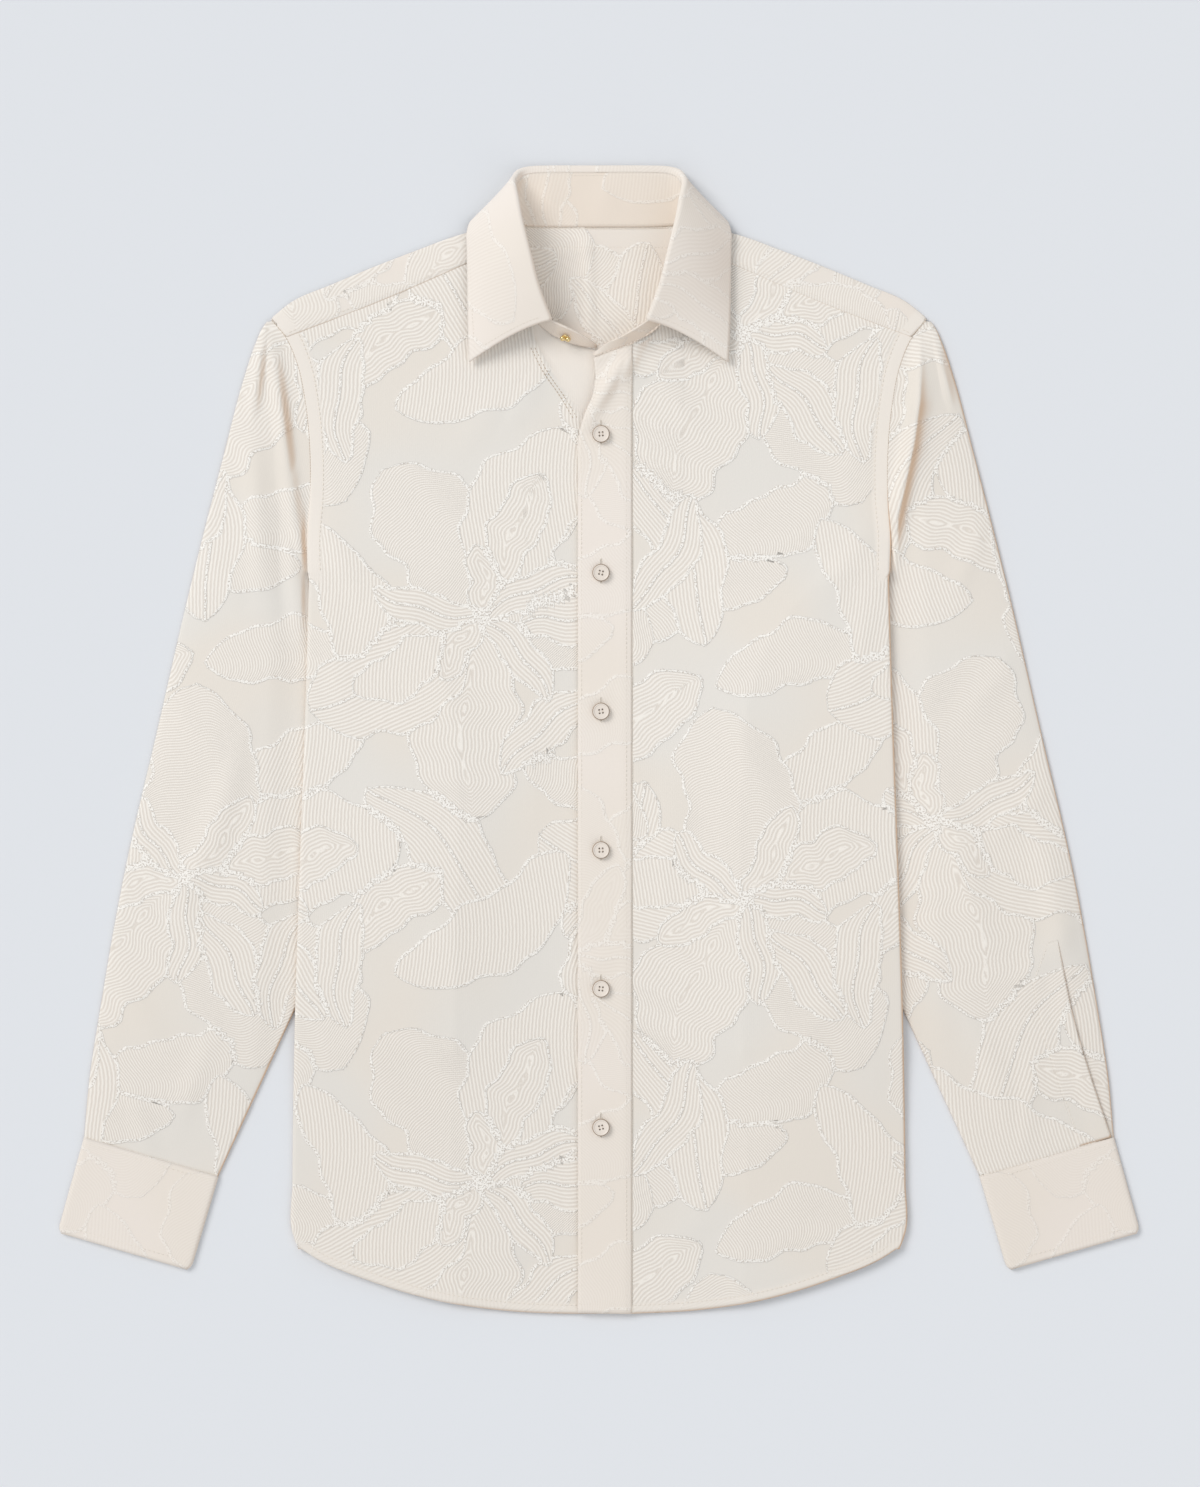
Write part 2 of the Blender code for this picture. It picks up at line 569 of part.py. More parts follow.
def buttons(heights, material):
    """The row of buttons down the placket, each with a raised rim."""
    r, t = BUTTON_RADIUS, BUTTON_THICK
    dish = t - 0.6
    profile = [(0, dish), (r - BUTTON_RIM - 0.6, dish), (r - BUTTON_RIM, t), (r - 0.3, t), (r, t - 0.5), (r - 0.9, 0), (0, 0)]
    for i in range(BUTTON_COUNT):
        y = BUTTON_TOP_Y - i * BUTTON_PITCH
        button = turned(f"button_{i + 1}", profile, material, 16)
        x_near = BUTTON_X + BUTTON_RADIUS * np.array([-1, 0, 1])
        on = heights["right"](x_near[:, None], y + x_near - BUTTON_X).max() + CLOTH / 2 + PLY_GAP + DOUBLE + 0.3
        button.location = Vector((BUTTON_X, y, on)) * MM


def collar_stud(material):
    """The small domed metal button on the collar's left end."""
    r = STUD_RADIUS
    profile = [(0, 2.8), (0.5 * r, 2.5), (0.85 * r, 1.6), (r, 0.6), (0.9 * r, 0), (0, 0)]
    stud = turned("collar_stud", profile, material, 16)
    turn = Vector((0, 0, 1)).rotation_difference(Vector(STUD_NORMAL).normalized())
    stud.matrix_world = Matrix.Translation(Vector(STUD_PLACE) * MM) @ turn.to_matrix().to_4x4()


def centre_on_floor():
    """Moves the shirt so that its box is centred over the origin and its underside is at zero."""
    graph = bpy.context.evaluated_depsgraph_get()
    pieces = bpy.data.collections["jacquard_shirt"].objects
    corners = [o.matrix_world @ Vector(c) for o in pieces for c in o.evaluated_get(graph).bound_box]
    low = [min(c[k] for c in corners) for k in range(3)]
    high = [max(c[k] for c in corners) for k in range(3)]
    shift = Vector((-(low[0] + high[0]) / 2, -(low[1] + high[1]) / 2, -low[2]))
    for piece in pieces:
        piece.location += shift


def main():
    for obj in list(bpy.data.objects):
        bpy.data.objects.remove(obj)
    collection = bpy.data.collections.new("jacquard_shirt")
    bpy.context.scene.collection.children.link(collection)
    jacquard = make_material("cream_jacquard", (233, 229, 221), 0.8)
    double = make_material("cream_jacquard_double", (236, 230, 221), 0.75)
    shell = make_material("shell_button", (226, 216, 205), 0.35)
    gold = make_material("gold_stud", (212, 170, 96), 0.25, 1.0)

    heights = stack_up()
    back(heights, jacquard)
    yoke(heights, jacquard)
    front_left(heights, jacquard)
    front_right(heights, jacquard)
    placket(heights, double)
    for side, name in ((-1, "left"), (1, "right")):
        sleeve(f"sleeve_{name}", side, jacquard)
        cuff(f"cuff_{name}", side, double)
    sleeve_placket("sleeve_placket_right", 1, jacquard)
    collar_stand(double)
    collar_leaf(double)
    buttons(heights, shell)
    collar_stud(gold)
    bpy.context.view_layer.update()
    centre_on_floor()


main()
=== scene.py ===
# %% [markdown]
# # A jacquard shirt, laid flat
#
# The shirt lies on its back on a pale surface, front up, sleeves drawn in at its sides. A packed
# model of it comes first: plain solids, one for each piece that a maker cuts and sews. This file
# dresses them. Each piece becomes a thin sheet on its solid's form, with its creases, its seams,
# its stitches and a figured weave. All sizes here are in millimetres until a mesh is made.

# %% Load the model
import math

import bmesh
import bpy
import numpy as np
from mathutils import Matrix, Vector


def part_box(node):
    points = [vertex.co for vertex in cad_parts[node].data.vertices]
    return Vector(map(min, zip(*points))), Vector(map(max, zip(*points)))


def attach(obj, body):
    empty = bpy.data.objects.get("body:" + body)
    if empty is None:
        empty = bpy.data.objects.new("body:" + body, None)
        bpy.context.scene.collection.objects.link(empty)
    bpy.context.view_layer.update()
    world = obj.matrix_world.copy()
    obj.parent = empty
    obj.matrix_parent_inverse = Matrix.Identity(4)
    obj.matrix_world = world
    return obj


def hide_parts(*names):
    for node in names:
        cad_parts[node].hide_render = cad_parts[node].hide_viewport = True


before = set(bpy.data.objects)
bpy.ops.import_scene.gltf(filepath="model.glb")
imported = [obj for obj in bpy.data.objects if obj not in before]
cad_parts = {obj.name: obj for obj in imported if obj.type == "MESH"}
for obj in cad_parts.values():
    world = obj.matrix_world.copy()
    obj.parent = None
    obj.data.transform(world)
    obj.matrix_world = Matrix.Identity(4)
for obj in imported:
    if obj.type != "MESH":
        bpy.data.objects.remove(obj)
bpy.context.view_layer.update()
MM = 0.001

# %% [markdown]
# ## The camera
#
# The picture is taken from straight above, from far enough that nothing looks bent. A long lens
# high over the middle gives the same view. The tall side of the frame decides the field.

# %% Camera over the shirt
CAMERA_AT = (0.7, -1.7, 2810)
LENS_MM, SENSOR_MM = 100, 36

camera = bpy.data.objects.new("camera", bpy.data.cameras.new("camera"))
camera.location = Vector(CAMERA_AT) * MM
camera.data.lens, camera.data.sensor_height = LENS_MM, SENSOR_MM
camera.data.sensor_fit = "VERTICAL"
bpy.context.scene.collection.objects.link(camera)
bpy.context.scene.camera = camera
print("camera sees", round(SENSOR_MM / LENS_MM * CAMERA_AT[2]), "mm from top to bottom")

# %% [markdown]
# ## Light and floor
#
# A product table is lit softly, so shadows are narrow and pale. One very large window at the upper
# left gives the shape of the folds, a weaker one fills in from the lower right, and the sky does
# the rest. The floor is a plain sheet of pale blue-grey board.

# %% A function for nodes, and colours from hex
def linear(hex_colour, alpha=1.0):
    """An sRGB hex colour as the linear values that a shader wants."""
    parts = [int(hex_colour[i : i + 2], 16) / 255 for i in (1, 3, 5)]
    return [c / 12.92 if c <= 0.04045 else ((c + 0.055) / 1.055) ** 2.4 for c in parts] + [alpha]


def node(tree, kind, inputs=None, **settings):
    """Adds a node. inputs maps a socket's name or number to a value, or to a socket to link."""
    new = tree.nodes.new(kind)
    for key, value in settings.items():
        setattr(new, key, value)
    for key, value in (inputs or {}).items():
        if isinstance(value, bpy.types.NodeSocket):
            tree.links.new(value, new.inputs[key])
        else:
            new.inputs[key].default_value = value
    return new


# %% Lamps, sky and floor
def window(name, at, degrees_wide, strength, hex_colour):
    """A far, very large lamp: even over the whole table, with soft shadows."""
    data = bpy.data.lights.new(name, "SUN")
    data.angle, data.energy, data.color = math.radians(degrees_wide), strength, linear(hex_colour)[:3]
    obj = bpy.data.objects.new(name, data)
    obj.rotation_euler = (-Vector(at)).to_track_quat("-Z", "Y").to_euler()
    bpy.context.scene.collection.objects.link(obj)


KEY_AT = (-1.6, 1.2, 1.75)
window("key", KEY_AT, 30, 1.51, "#fffaf6")
window("fill", (1.0, -1.7, 1.6), 60, 0.54, "#fff7f0")

world = bpy.data.worlds.new("sky")
world.use_nodes = True
world.node_tree.nodes["Background"].inputs["Color"].default_value = linear("#f5f8fb")
world.node_tree.nodes["Background"].inputs["Strength"].default_value = 0.6
bpy.context.scene.world = world
bpy.context.scene.view_settings.view_transform = "Standard"

board = bpy.data.materials.new("painted_board")
board.use_nodes = True
board_shader = board.node_tree.nodes["Principled BSDF"]
board_shader.inputs["Base Color"].default_value = linear("#e3e7ec")
board_shader.inputs["Roughness"].default_value = 0.9

floor_mesh = bpy.data.meshes.new("floor")
floor_mesh.from_pydata([(-6, -6, 0), (6, -6, 0), (6, 6, 0), (-6, 6, 0)], [], [(0, 1, 2, 3)])
floor_mesh.materials.append(board)
floor = bpy.data.objects.new("floor", floor_mesh)
floor.location.z = -0.05 * MM
bpy.context.scene.collection.objects.link(floor)

# %% [markdown]
# ## The shirt's outlines
#
# A pattern cutter works from flat outlines, and so does this file. Each table holds one half of
# the shirt: the distance out from the centre line, then the height up the page. A smooth curve is
# drawn through the points.

# %% Cloth and main sizes
CLOTH, DOUBLE = 1.0, 1.7  # the room each ply takes: one layer, and the stiffened double one
PLY_GAP, SEAM_GAP = 0.35, 0.3
FLAT_BELOW = 0.12
PITCH = CLOTH + PLY_GAP
THIN, THIN_DOUBLE = 0.75, 1.35  # the walls that are drawn in that room

PLACKET_LEFT, PLACKET_RIGHT = -14.3, 22.4
UNDERLAP, TURN_UNDER, NICK_Y, YOKE_SEAM_Y = 17.0, 80.0, 113.0, 262.0
SLEEVE_AIR = 2.4
BUTTON_X, BUTTON_TOP_Y, BUTTON_PITCH, BUTTON_COUNT = 1.4, 209.4, 94.1, 6
BUTTON_RADIUS, BUTTON_THICK, BUTTON_RIM = 5.95, 2.4, 1.1
STUD_PLACE, STUD_NORMAL, STUD_RADIUS = (-22.3, 273.6, 10.9), (-0.35, -0.78, 0.52), 4.1

# %% Outlines of one half
ARMHOLE = [(197, 113), (197.6, 138), (195.6, 165), (195.6, 195), (198.5, 228), (204.5, 257), (212.5, 275), (223, 287.5)]
BODY_SIDE = [(197, 113), (199, 40), (202.5, -60), (206.3, -176), (208.5, -300), (208.5, -334), (204.5, -345)]
HEM = [(204.5, -345), (194, -350.3), (156, -366.5), (110, -380), (65, -387), (22, -389.2), (0, -389.2)]
SHOULDER = [(61, 350.5), (88, 346), (129, 331.8), (183, 310), (208, 299.2), (223, 287.5)]
YOKE_FRONT = [(61.5, 337.5), (90, 325), (150, 299), (212.5, 275)]
NECK_FRONT = [(61.5, 337.5), (57.5, 317), (49, 298), (39.5, 282), (28, 274), (16, 269), (0, 266)]
NECK_RIGHT = [(61.5, 337.5), (57.5, 317), (49, 298), (40, 281), (PLACKET_RIGHT, 269.4), (11, 265.4), (-3.4, 260.2)]
SLEEVE_OUTER = [
    (223, 287.5), (229, 280), (233, 271), (241.5, 245.5), (254, 198), (278, 103),
    (300, 7.5), (322, -88), (339, -183), (346.3, -230.5), (349.7, -268.5),
]
SLEEVE_INNER = [
    (197, 113), (196, 98), (184, 72), (168, 25), (164, -35), (172, -95),
    (189, -145), (205.5, -179.5), (239, -252), (259, -295.3),
]
CUFF_TOP = [(259.1, -295.8), (349.5, -269.3)]
CUFF_END = [(278.1, -359.7), (367.6, -334)]
PLACKET_EDGE = [(-3.4, 260.2), (-2.2, 248), (-3.6, 236), (-10.6, 219), (-14.3, 202), (-14.3, 190), (-14.3, -388.4)]
SLEEVE_SLIT = [(311.5, -135), (323, -190), (334.5, -229), (348.2, -269)]

# %% Curves and patches
def smooth_curve(points, samples=24):
    """A smooth curve through the points, as a function of the share of its length."""
    p = np.array(points, float)
    span = np.linalg.norm(np.diff(p, axis=0), axis=1)[:, None]
    slope = np.diff(p, axis=0) / span
    inner = (slope[:-1] * span[1:] + slope[1:] * span[:-1]) / (span[1:] + span[:-1])
    slopes = np.vstack([slope[:1], inner, slope[-1:]]) if len(p) > 2 else np.vstack([slope, slope])
    t = np.linspace(0, 1, samples, endpoint=False)[:, None]
    spans = [
        a + (b - a) * t**2 * (3 - 2 * t) + d * (u * t * (1 - t) ** 2 - v * t**2 * (1 - t))
        for a, b, d, u, v in zip(p[:-1], p[1:], span, slopes[:-1], slopes[1:])
    ]
    line = np.vstack([*spans, p[-1:]])
    length = np.concatenate([[0], np.cumsum(np.linalg.norm(np.diff(line, axis=0), axis=1))])
    return lambda share: np.stack(
        [np.interp(share, length / length[-1], line[:, k]) for k in range(line.shape[1])], axis=-1
    )


def unit(v):
    return v / np.linalg.norm(v, axis=-1, keepdims=True)


def smooth(share):
    """0 up to 0, 1 from 1 on, and a soft slope between."""
    share = np.clip(share, 0, 1)
    return share * share * (3 - 2 * share)


def shares(line):
    """How far along a row of points each one lies, as a share of the whole."""
    step = np.linalg.norm(np.diff(line, axis=0), axis=1)
    return np.concatenate([[0], np.cumsum(step)]) / step.sum()


def coons(top, bottom, left, right):
    """The patch between four rows of points: two that run across, and two that run down."""
    s, t = shares(bottom)[None, :, None], shares(left)[:, None, None]
    sides = (1 - s) * left[:, None] + s * right[:, None]
    ends = (1 - t) * top[None] + t * bottom[None]
    twist = (1 - t) * ((1 - s) * top[0] + s * top[-1]) + t * ((1 - s) * bottom[0] + s * bottom[-1])
    return sides + ends - twist


def table(rows, by=1):
    """The other column of an outline as a function of one, for any order of its rows."""
    rows = sorted((row[by], row[1 - by]) for row in rows)
    keys, values = zip(*rows)
    return lambda v: np.interp(v, keys, values)


def between(curve_points, heights):
    """Points of a smooth line at the given heights up the page."""
    line = smooth_curve(curve_points)(np.linspace(0, 1, 900))
    line = line[np.argsort(line[:, 1])]
    heights = np.array(heights, float)
    return np.stack([np.interp(heights, line[:, 1], line[:, 0]), heights], axis=-1)


# %% [markdown]
# ## Creases
#
# Cloth that is laid out by hand is never quite flat. Each crease is a row here: where it starts
# and ends, how high it stands, and how wide it is. The slack waves
# are long and low, as in washed cotton that was pressed once.

# %% Creases, one row each
LEFT_FOLDS = [
    # x0, y0, x1, y1, height, half width
    (-150, -40, -60, -210, 1.6, 22),
    (-170, 60, -90, 130, 1.3, 20),
]
RIGHT_FOLDS = [
    (-8, 226, 30, 272, 3.0, 11),
    (60, 60, 150, -70, 1.5, 24),
    (40, -240, 150, -330, 1.6, 20),
]
SLEEVE_FOLDS = [
    (230, 274, 240, 226, 2.4, 5),
    (-229.5, 276, -235.5, 218, 3.4, 4.4),
    (-222, 270, -208, 160, 4.0, 4.8),
    (-213.5, 200, -201, 108, 4.0, 6.0),
    (-210, 150, -203, 70, 3.0, 6.5),
    (-236, 215, -228, 90, 3.0, 9),
    (-250, -20, -285, -120, 2.2, 11),
    (300, -60, 322, -170, 2.2, 10),
    (235, -30, 262, -140, 2.0, 12),
]
CREST = [
    # the long fold at the right sleeve's cap: height up the page, how far out, rise
    (108, 197.5, 0), (133, 199, 5.5), (149, 201.3, 8.4), (172, 206.2, 9.8), (201, 212.3, 10.0),
    (230, 216.5, 9.0), (254, 218, 5.6), (278, 218.5, 0),
]
FRONT_CREASES = [
    (-30, 262, -64, 214, 1.1, 8),
    (-52, 250, -96, 196, 0.8, 10),
    (34, 262, 70, 206, 1.0, 9),
    (190, 150, 150, 96, 0.9, 9),
    (196, 118, 168, 30, 0.9, 10),
    (-190, 148, -156, 90, 0.9, 9),
    (-194, 110, -170, 20, 0.8, 11),
    (-190, 232, -160, 170, 0.7, 9),
    (192, 236, 166, 176, 0.7, 9),
    (-120, -120, -40, -160, 0.6, 14),
    (-176, -190, -110, -290, 0.9, 13),
    (176, -150, 118, -230, 0.9, 13),
    (60, 10, 40, -120, 0.6, 13),
    (-60, 60, -44, -50, 0.6, 12),
    (90, -300, 40, -356, 0.7, 12),
    (-100, -318, -50, -362, 0.7, 12),
]
PLACKET_ROLLS = [
    (-12, 36, 10, 30, 0.5, 4),
    (10, 34, 36, 20, 0.7, 4),
    (-10, 119, 18, 124, 0.5, 5),
    (12, -78, 42, -92, 0.7, 5),
    (-12, -150, 14, -146, 0.5, 5),
    (8, -252, 38, -262, 0.6, 5),
    (-10, 214, 20, 264, 3.2, 5),
    (8, 238, 34, 278, 2.2, 5),
]
SLEEVE_CREASES = [
    (-268, 120, -238, 92, 1.0, 8),
    (-290, 20, -252, -14, 1.0, 9),
    (-312, -80, -270, -128, 1.2, 9),
    (-330, -160, -296, -206, 1.0, 9),
    (-262, -196, -286, -262, 1.1, 8),
    (-318, -232, -304, -286, 0.9, 7),
    (-240, 20, -262, -90, 1.0, 9),
    (262, 150, 240, 96, 1.1, 8),
    (283, 60, 250, 14, 1.1, 9),
    (306, -30, 262, -70, 1.1, 9),
    (322, -120, 286, -176, 1.0, 9),
    (250, -176, 280, -262, 1.1, 9),
    (296, -210, 288, -282, 0.9, 7),
]


def ridge(x, y, folds):
    """The height that soft folds add at each place."""
    rise = np.zeros(np.shape(x))
    for x0, y0, x1, y1, height, half in folds:
        along = np.hypot(x1 - x0, y1 - y0)
        u = ((x - x0) * (x1 - x0) + (y - y0) * (y1 - y0)) / along**2
        off = np.hypot(x - x0 - np.clip(u, 0, 1) * (x1 - x0), y - y0 - np.clip(u, 0, 1) * (y1 - y0))
        fade = np.sin(math.pi * np.clip(u, 0.04, 0.96)) ** 0.6
        rise = np.maximum(rise, height * fade * np.exp(-((off / half) ** 2)))
    return rise


def crest(x, y):
    """The height of the long fold: a soft slope on its left, and one on its right that starts steeply."""
    up, out, rise = np.array(CREST).T
    off = x - np.interp(y, up, out)
    slope = np.where(off < 0, np.exp(-((off / 5.5) ** 2)), np.exp(-(np.hypot(off, 1.0) - 1.0) / 6.0))
    return np.interp(y, up, rise) * slope


def slack(x, y):
    """Long low waves, always upwards, from a few crossing sines of unlike lengths."""
    waves = [(0.021, 0.013, 0.4), (-0.016, 0.027, 2.1), (0.034, -0.018, 4.0), (0.009, 0.041, 5.2)]
    total = sum(np.sin(a * x + b * y + phase) for a, b, phase in waves)
    return 0.16 * np.maximum(total + 1.2, 0)


# %% [markdown]
# ## How the plies lie
#
# Each ply rests on what is under it: the sleeves are tucked below the body, the sides of the body
# are turned under, the back lies on those and the fronts on the back. A grid of heights over the
# plan grows ply by ply. A new ply is lifted over what is there and then relaxed, which gives the
# soft slope of cloth over an edge.

# %% The stack of plies
class Plies:
    CELL, REACH_X, REACH_Y, SOFTEN = 2.5, 400.0, 420.0, 220

    def __init__(self):
        xs = np.arange(-self.REACH_X, self.REACH_X + 1, self.CELL)
        ys = np.arange(-self.REACH_Y, self.REACH_Y + 1, self.CELL)
        self.x, self.y = np.meshgrid(xs, ys)
        self.top = np.zeros(self.x.shape)

    def near(self, field, pick):
        wide = np.pad(field, 1, mode="edge")
        rows, cols = field.shape
        return pick([wide[i : i + rows, j : j + cols] for i in range(3) for j in range(3)], axis=0)

    def lay(self, covers, thickness, folds=()):
        """Lays one ply, and returns a function for the height of its middle."""
        rest = self.near(np.where(self.top > 0, self.top + PLY_GAP, 0), np.max)
        rest = rest + ridge(self.x, self.y, folds)
        sheet = rest
        for _ in range(self.SOFTEN):
            sheet = np.maximum(rest, self.near(sheet, np.mean))
        sheet = np.maximum(rest, sheet - FLAT_BELOW)
        self.top = np.where(self.near(covers, np.max), sheet + thickness, self.top)
        middle = sheet + thickness / 2
        return lambda x, y: self.read(middle, x, y)

    def read(self, field, x, y):
        i = (np.asarray(y) + self.REACH_Y) / self.CELL
        j = (np.asarray(x) + self.REACH_X) / self.CELL
        i0, j0 = np.floor(i).astype(int), np.floor(j).astype(int)
        u, v = i - i0, j - j0
        low = field[i0, j0] * (1 - v) + field[i0, j0 + 1] * v
        high = field[i0 + 1, j0] * (1 - v) + field[i0 + 1, j0 + 1] * v
        return low * (1 - u) + high * u


def turned_width(y):
    """How wide the turned side is: nothing at the underarm, then growing to its full width."""
    return TURN_UNDER * (1 - np.exp(-np.maximum(NICK_Y - y, 0) / 45))


def side_width(y):
    """How far out the body's edge is: the armhole above the underarm, the folded side below."""
    return np.where(y < NICK_Y, table(BODY_SIDE)(y), table(ARMHOLE)(y))


def stack_up():
    plies = Plies()
    x, y = np.abs(plies.x), plies.y
    half = side_width(y)
    body = (x < half) & (y > table(HEM, 0)(x)) & (y < table(SHOULDER, 0)(x))
    under = (y < NICK_Y - 2) & (y > table(HEM, 0)(x)) & (x < half)
    turned = under & (x > half - turned_width(y) - 22)
    heights = {}
    plies.lay((x < 66) & (y > 342) & (y < 392), DOUBLE)
    tucked = (y < NICK_Y + 4) & (y > -200) & (x < half) & (x > half - TURN_UNDER - 25)
    for _ in range(2):
        plies.lay(tucked, CLOTH)
    heights["front under"] = plies.lay(turned, CLOTH)
    heights["back under"] = plies.lay(turned, CLOTH)
    heights["back"] = plies.lay(body & ((x > 61) | (y < 351)), CLOTH)
    neck = np.where(x < 61.5, table(NECK_FRONT, 0)(-plies.x), 999)
    heights["left"] = plies.lay(body & (plies.x < UNDERLAP) & (y < neck), CLOTH, LEFT_FOLDS)
    neck = np.where(x < 61.5, table(NECK_RIGHT, 0)(plies.x), 999)
    heights["right"] = plies.lay(body & (plies.x > PLACKET_LEFT) & (y < neck), CLOTH, RIGHT_FOLDS)
    return heights


PLY = stack_up()


def inside_body(x, y, margin):
    """1 well inside the body, 0 at its edges, the neck and the placket: where creases may rise."""
    x = np.abs(x)
    side = np.clip((side_width(y) - x - 2) / margin, 0, 1)
    top = np.clip((table(SHOULDER, 0)(x) - y - 14) / margin, 0, 1)
    foot = np.clip((y - table(HEM, 0)(x) - 4) / margin, 0, 1)
    middle = np.clip((x - PLACKET_RIGHT - 3) / margin, 0, 1)
    return side * top * foot * middle


def neck_lift(x, y):
    """The top of the right front stands up a little against the collar's end."""
    below = table(NECK_RIGHT, 0)(x) - y
    across = np.clip((x + 10) / 8, 0, 1) * np.clip((42 - x) / 14, 0, 1)
    return 2.8 * across * np.clip(1 - below / 8, 0, 1) ** 1.5


def front_height(ply):
    """A front with its own creases on the height that the stack gives."""

    def at(x, y):
        rise = ridge(x, y, FRONT_CREASES) + slack(x, y)
        top = ridge(x, y, PLACKET_ROLLS) + neck_lift(x, y) if ply == "right" else 0
        return PLY[ply](x, y) + inside_body(x, y, 18) * rise + top

    return at


def sleeve_height(x, y):
    """The middle of a sleeve's upper ply. It is pressed flat where the body covers it."""
    out = np.abs(x)
    inner = np.where(y < NICK_Y, table(SLEEVE_INNER)(y), table(ARMHOLE)(y))
    share = np.clip((out - inner) / (table(SLEEVE_OUTER)(y) - inner), 0, 1)
    free = np.clip((out - side_width(y) - 5) / 22, 0, 1)
    free = free * free * (3 - 2 * free)
    near_cuff = np.clip((y + 296) / 60, 0.25, 1)
    air = SLEEVE_AIR * np.sqrt(np.sin(math.pi * share)) * near_cuff
    edge = np.clip((table(SLEEVE_OUTER)(y) - out) / 12, 0, 1) * np.clip((y + 297) / 18, 0, 1)
    creases = edge * (ridge(x, y, SLEEVE_CREASES) + slack(x, y))
    drape = np.clip((out - side_width(y) - 1) / 3.5, 0, 1) * np.clip((table(SLEEVE_OUTER)(y) - out) / 6, 0, 1)
    return CLOTH / 2 + PITCH + free * (air + creases) + drape * np.maximum(ridge(x, y, SLEEVE_FOLDS), crest(x, y))


print("plies laid:", ", ".join(PLY))

# %% [markdown]
# ## The figure in the weave
#
# A jacquard loom lifts each warp thread on its own, so the cloth itself carries the drawing: big
# flowers and leaves filled with fine raised ribs, edged with fleecy floats, on a smooth ground.
# The drawing here is a plain repeat of flowers and leaves made up for this shirt. Each petal is a
# curved leaf shape. For every point of the cloth two numbers are kept for each of three layers of
# petals: how far inside its edge the point lies, and which rib it is on. The material turns them
# into ribs and outlines, so lines stay sharp on a coarse mesh.

# %% The repeat: flowers and leaves
REPEAT = (352.0, 384.0)
FLOWERS = [
    # x, y, turn, petals, length, width, layer of the first petal
    (98, 276, 24, 5, 126, 78, 0),
    (272, 84, 58, 5, 122, 76, 1),
]
HEARTS = [
    # the inner petals of a flower: x, y, turn, petals, length, width
    (98, 276, -8, 5, 66, 26),
    (272, 84, 22, 5, 62, 25),
]
LEAVES = [
    # x, y, direction, length, width, bend, ribs, layer
    (196, 352, -52, 138, 52, 18, 0, 0),
    (214, 226, 34, 142, 54, -16, 2, 1),
    (18, 186, -66, 132, 50, 15, 0, 1),
    (128, 116, -158, 124, 48, -14, 3, 0),
    (150, 150, -70, 128, 46, 14, 2, 1),
    (330, 250, 64, 118, 46, -13, 0, 0),
    (80, 36, 12, 112, 44, 12, 3, 0),
    (352, 172, 196, 112, 40, 12, 2, 0),
    (190, 10, 100, 110, 42, -12, 2, 0),
    (300, 366, -28, 96, 38, 10, 3, 1),
    (178, 190, 84, 84, 34, 9, 0, 2),
    (20, 90, 60, 88, 30, -9, 0, 2),
    (340, 352, 42, 110, 48, 10, 1, 0),
    (70, 130, 28, 104, 46, -9, 3, 0),
    (176, 240, 36, 98, 40, 8, 1, 0),
    (112, 350, 34, 96, 40, -8, 2, 0),
    (346, 184, 82, 92, 36, 7, 0, 1),
    (286, 362, 40, 84, 32, 6, 0, 1),
]
RIB_PITCH, FINE_PITCH, RIDGE_REACH = 2.4, 1.85, 9.0


def petals(rows):
    """A flower's petals as leaf rows: neighbours lie on different layers, and each holds a smaller one."""
    for x, y, turn, count, length, width, first in rows:
        for k in range(count):
            angle = turn + 360 * k / count + 7 * math.sin(3 * k + y)
            reach = length * (1 + 0.1 * math.sin(2.3 * k + x))
            c, s = math.cos(math.radians(angle)), math.sin(math.radians(angle))
            bend = (-1) ** k * 9
            yield (x + 8 * c, y + 8 * s, angle, reach, width, bend, (2, 3, 0, 1, 3)[k % 5], (first + k) % 2)
            if k % 2 == 0:
                yield (x + 26 * c, y + 26 * s, angle + 4, reach * 0.6, width * 0.46, bend * 0.5, (1, 0, 2)[k % 3], 2)


def hearts(rows):
    """The small petals at a flower's middle, over all the others."""
    for x, y, turn, count, length, width in rows:
        for k in range(count):
            angle = turn + 360 * k / count
            reach = length * (1 + 0.22 * math.sin(2.9 * k + x))
            yield (x, y, angle, reach, width, (-1) ** k * 5, (0, 1)[k % 2], 2)


MOTIFS = [*LEAVES, *petals(FLOWERS), *hearts(HEARTS)]


def one_motif(x, y, row):
    """How far inside a leaf each point lies, and its place across the ribs."""
    x0, y0, direction, length, width, bend, style, _ = row
    a = math.radians(direction)
    u = ((x - x0) * math.cos(a) + (y - y0) * math.sin(a)) / length
    v = -(x - x0) * math.sin(a) + (y - y0) * math.cos(a)
    v = v - bend * np.sin(math.pi * np.clip(u, -0.1, 1.1)) + 1.8 * np.sin(11 * u + x0)
    wavy = 1 + 0.07 * np.sin(17 * u + y0) + 0.05 * np.sin(31 * u + x0)
    swell = np.clip(u, 0, 1) ** 0.6 * (1 - np.clip(u, 0, 1)) ** 0.55 * 1.06
    inside = width * swell * wavy - np.abs(v)
    ends = np.minimum(u, 1 - u) * length
    inside = np.minimum(inside, np.where(ends < 0, ends, 99.0)) * 0.93
    if style == 0:
        across = v * (1 + 0.1 * np.cos(5 * u))
    elif style == 1:
        across = inside
    elif style == 2:
        across = (x - x0) + 4 * np.sin(y / 23) + 60 * RIB_PITCH
    else:
        across = (u * length + 0.012 * v**2 + 3 * np.sin(v / 7)) * RIB_PITCH / FINE_PITCH + 20 * RIB_PITCH
    return inside, across


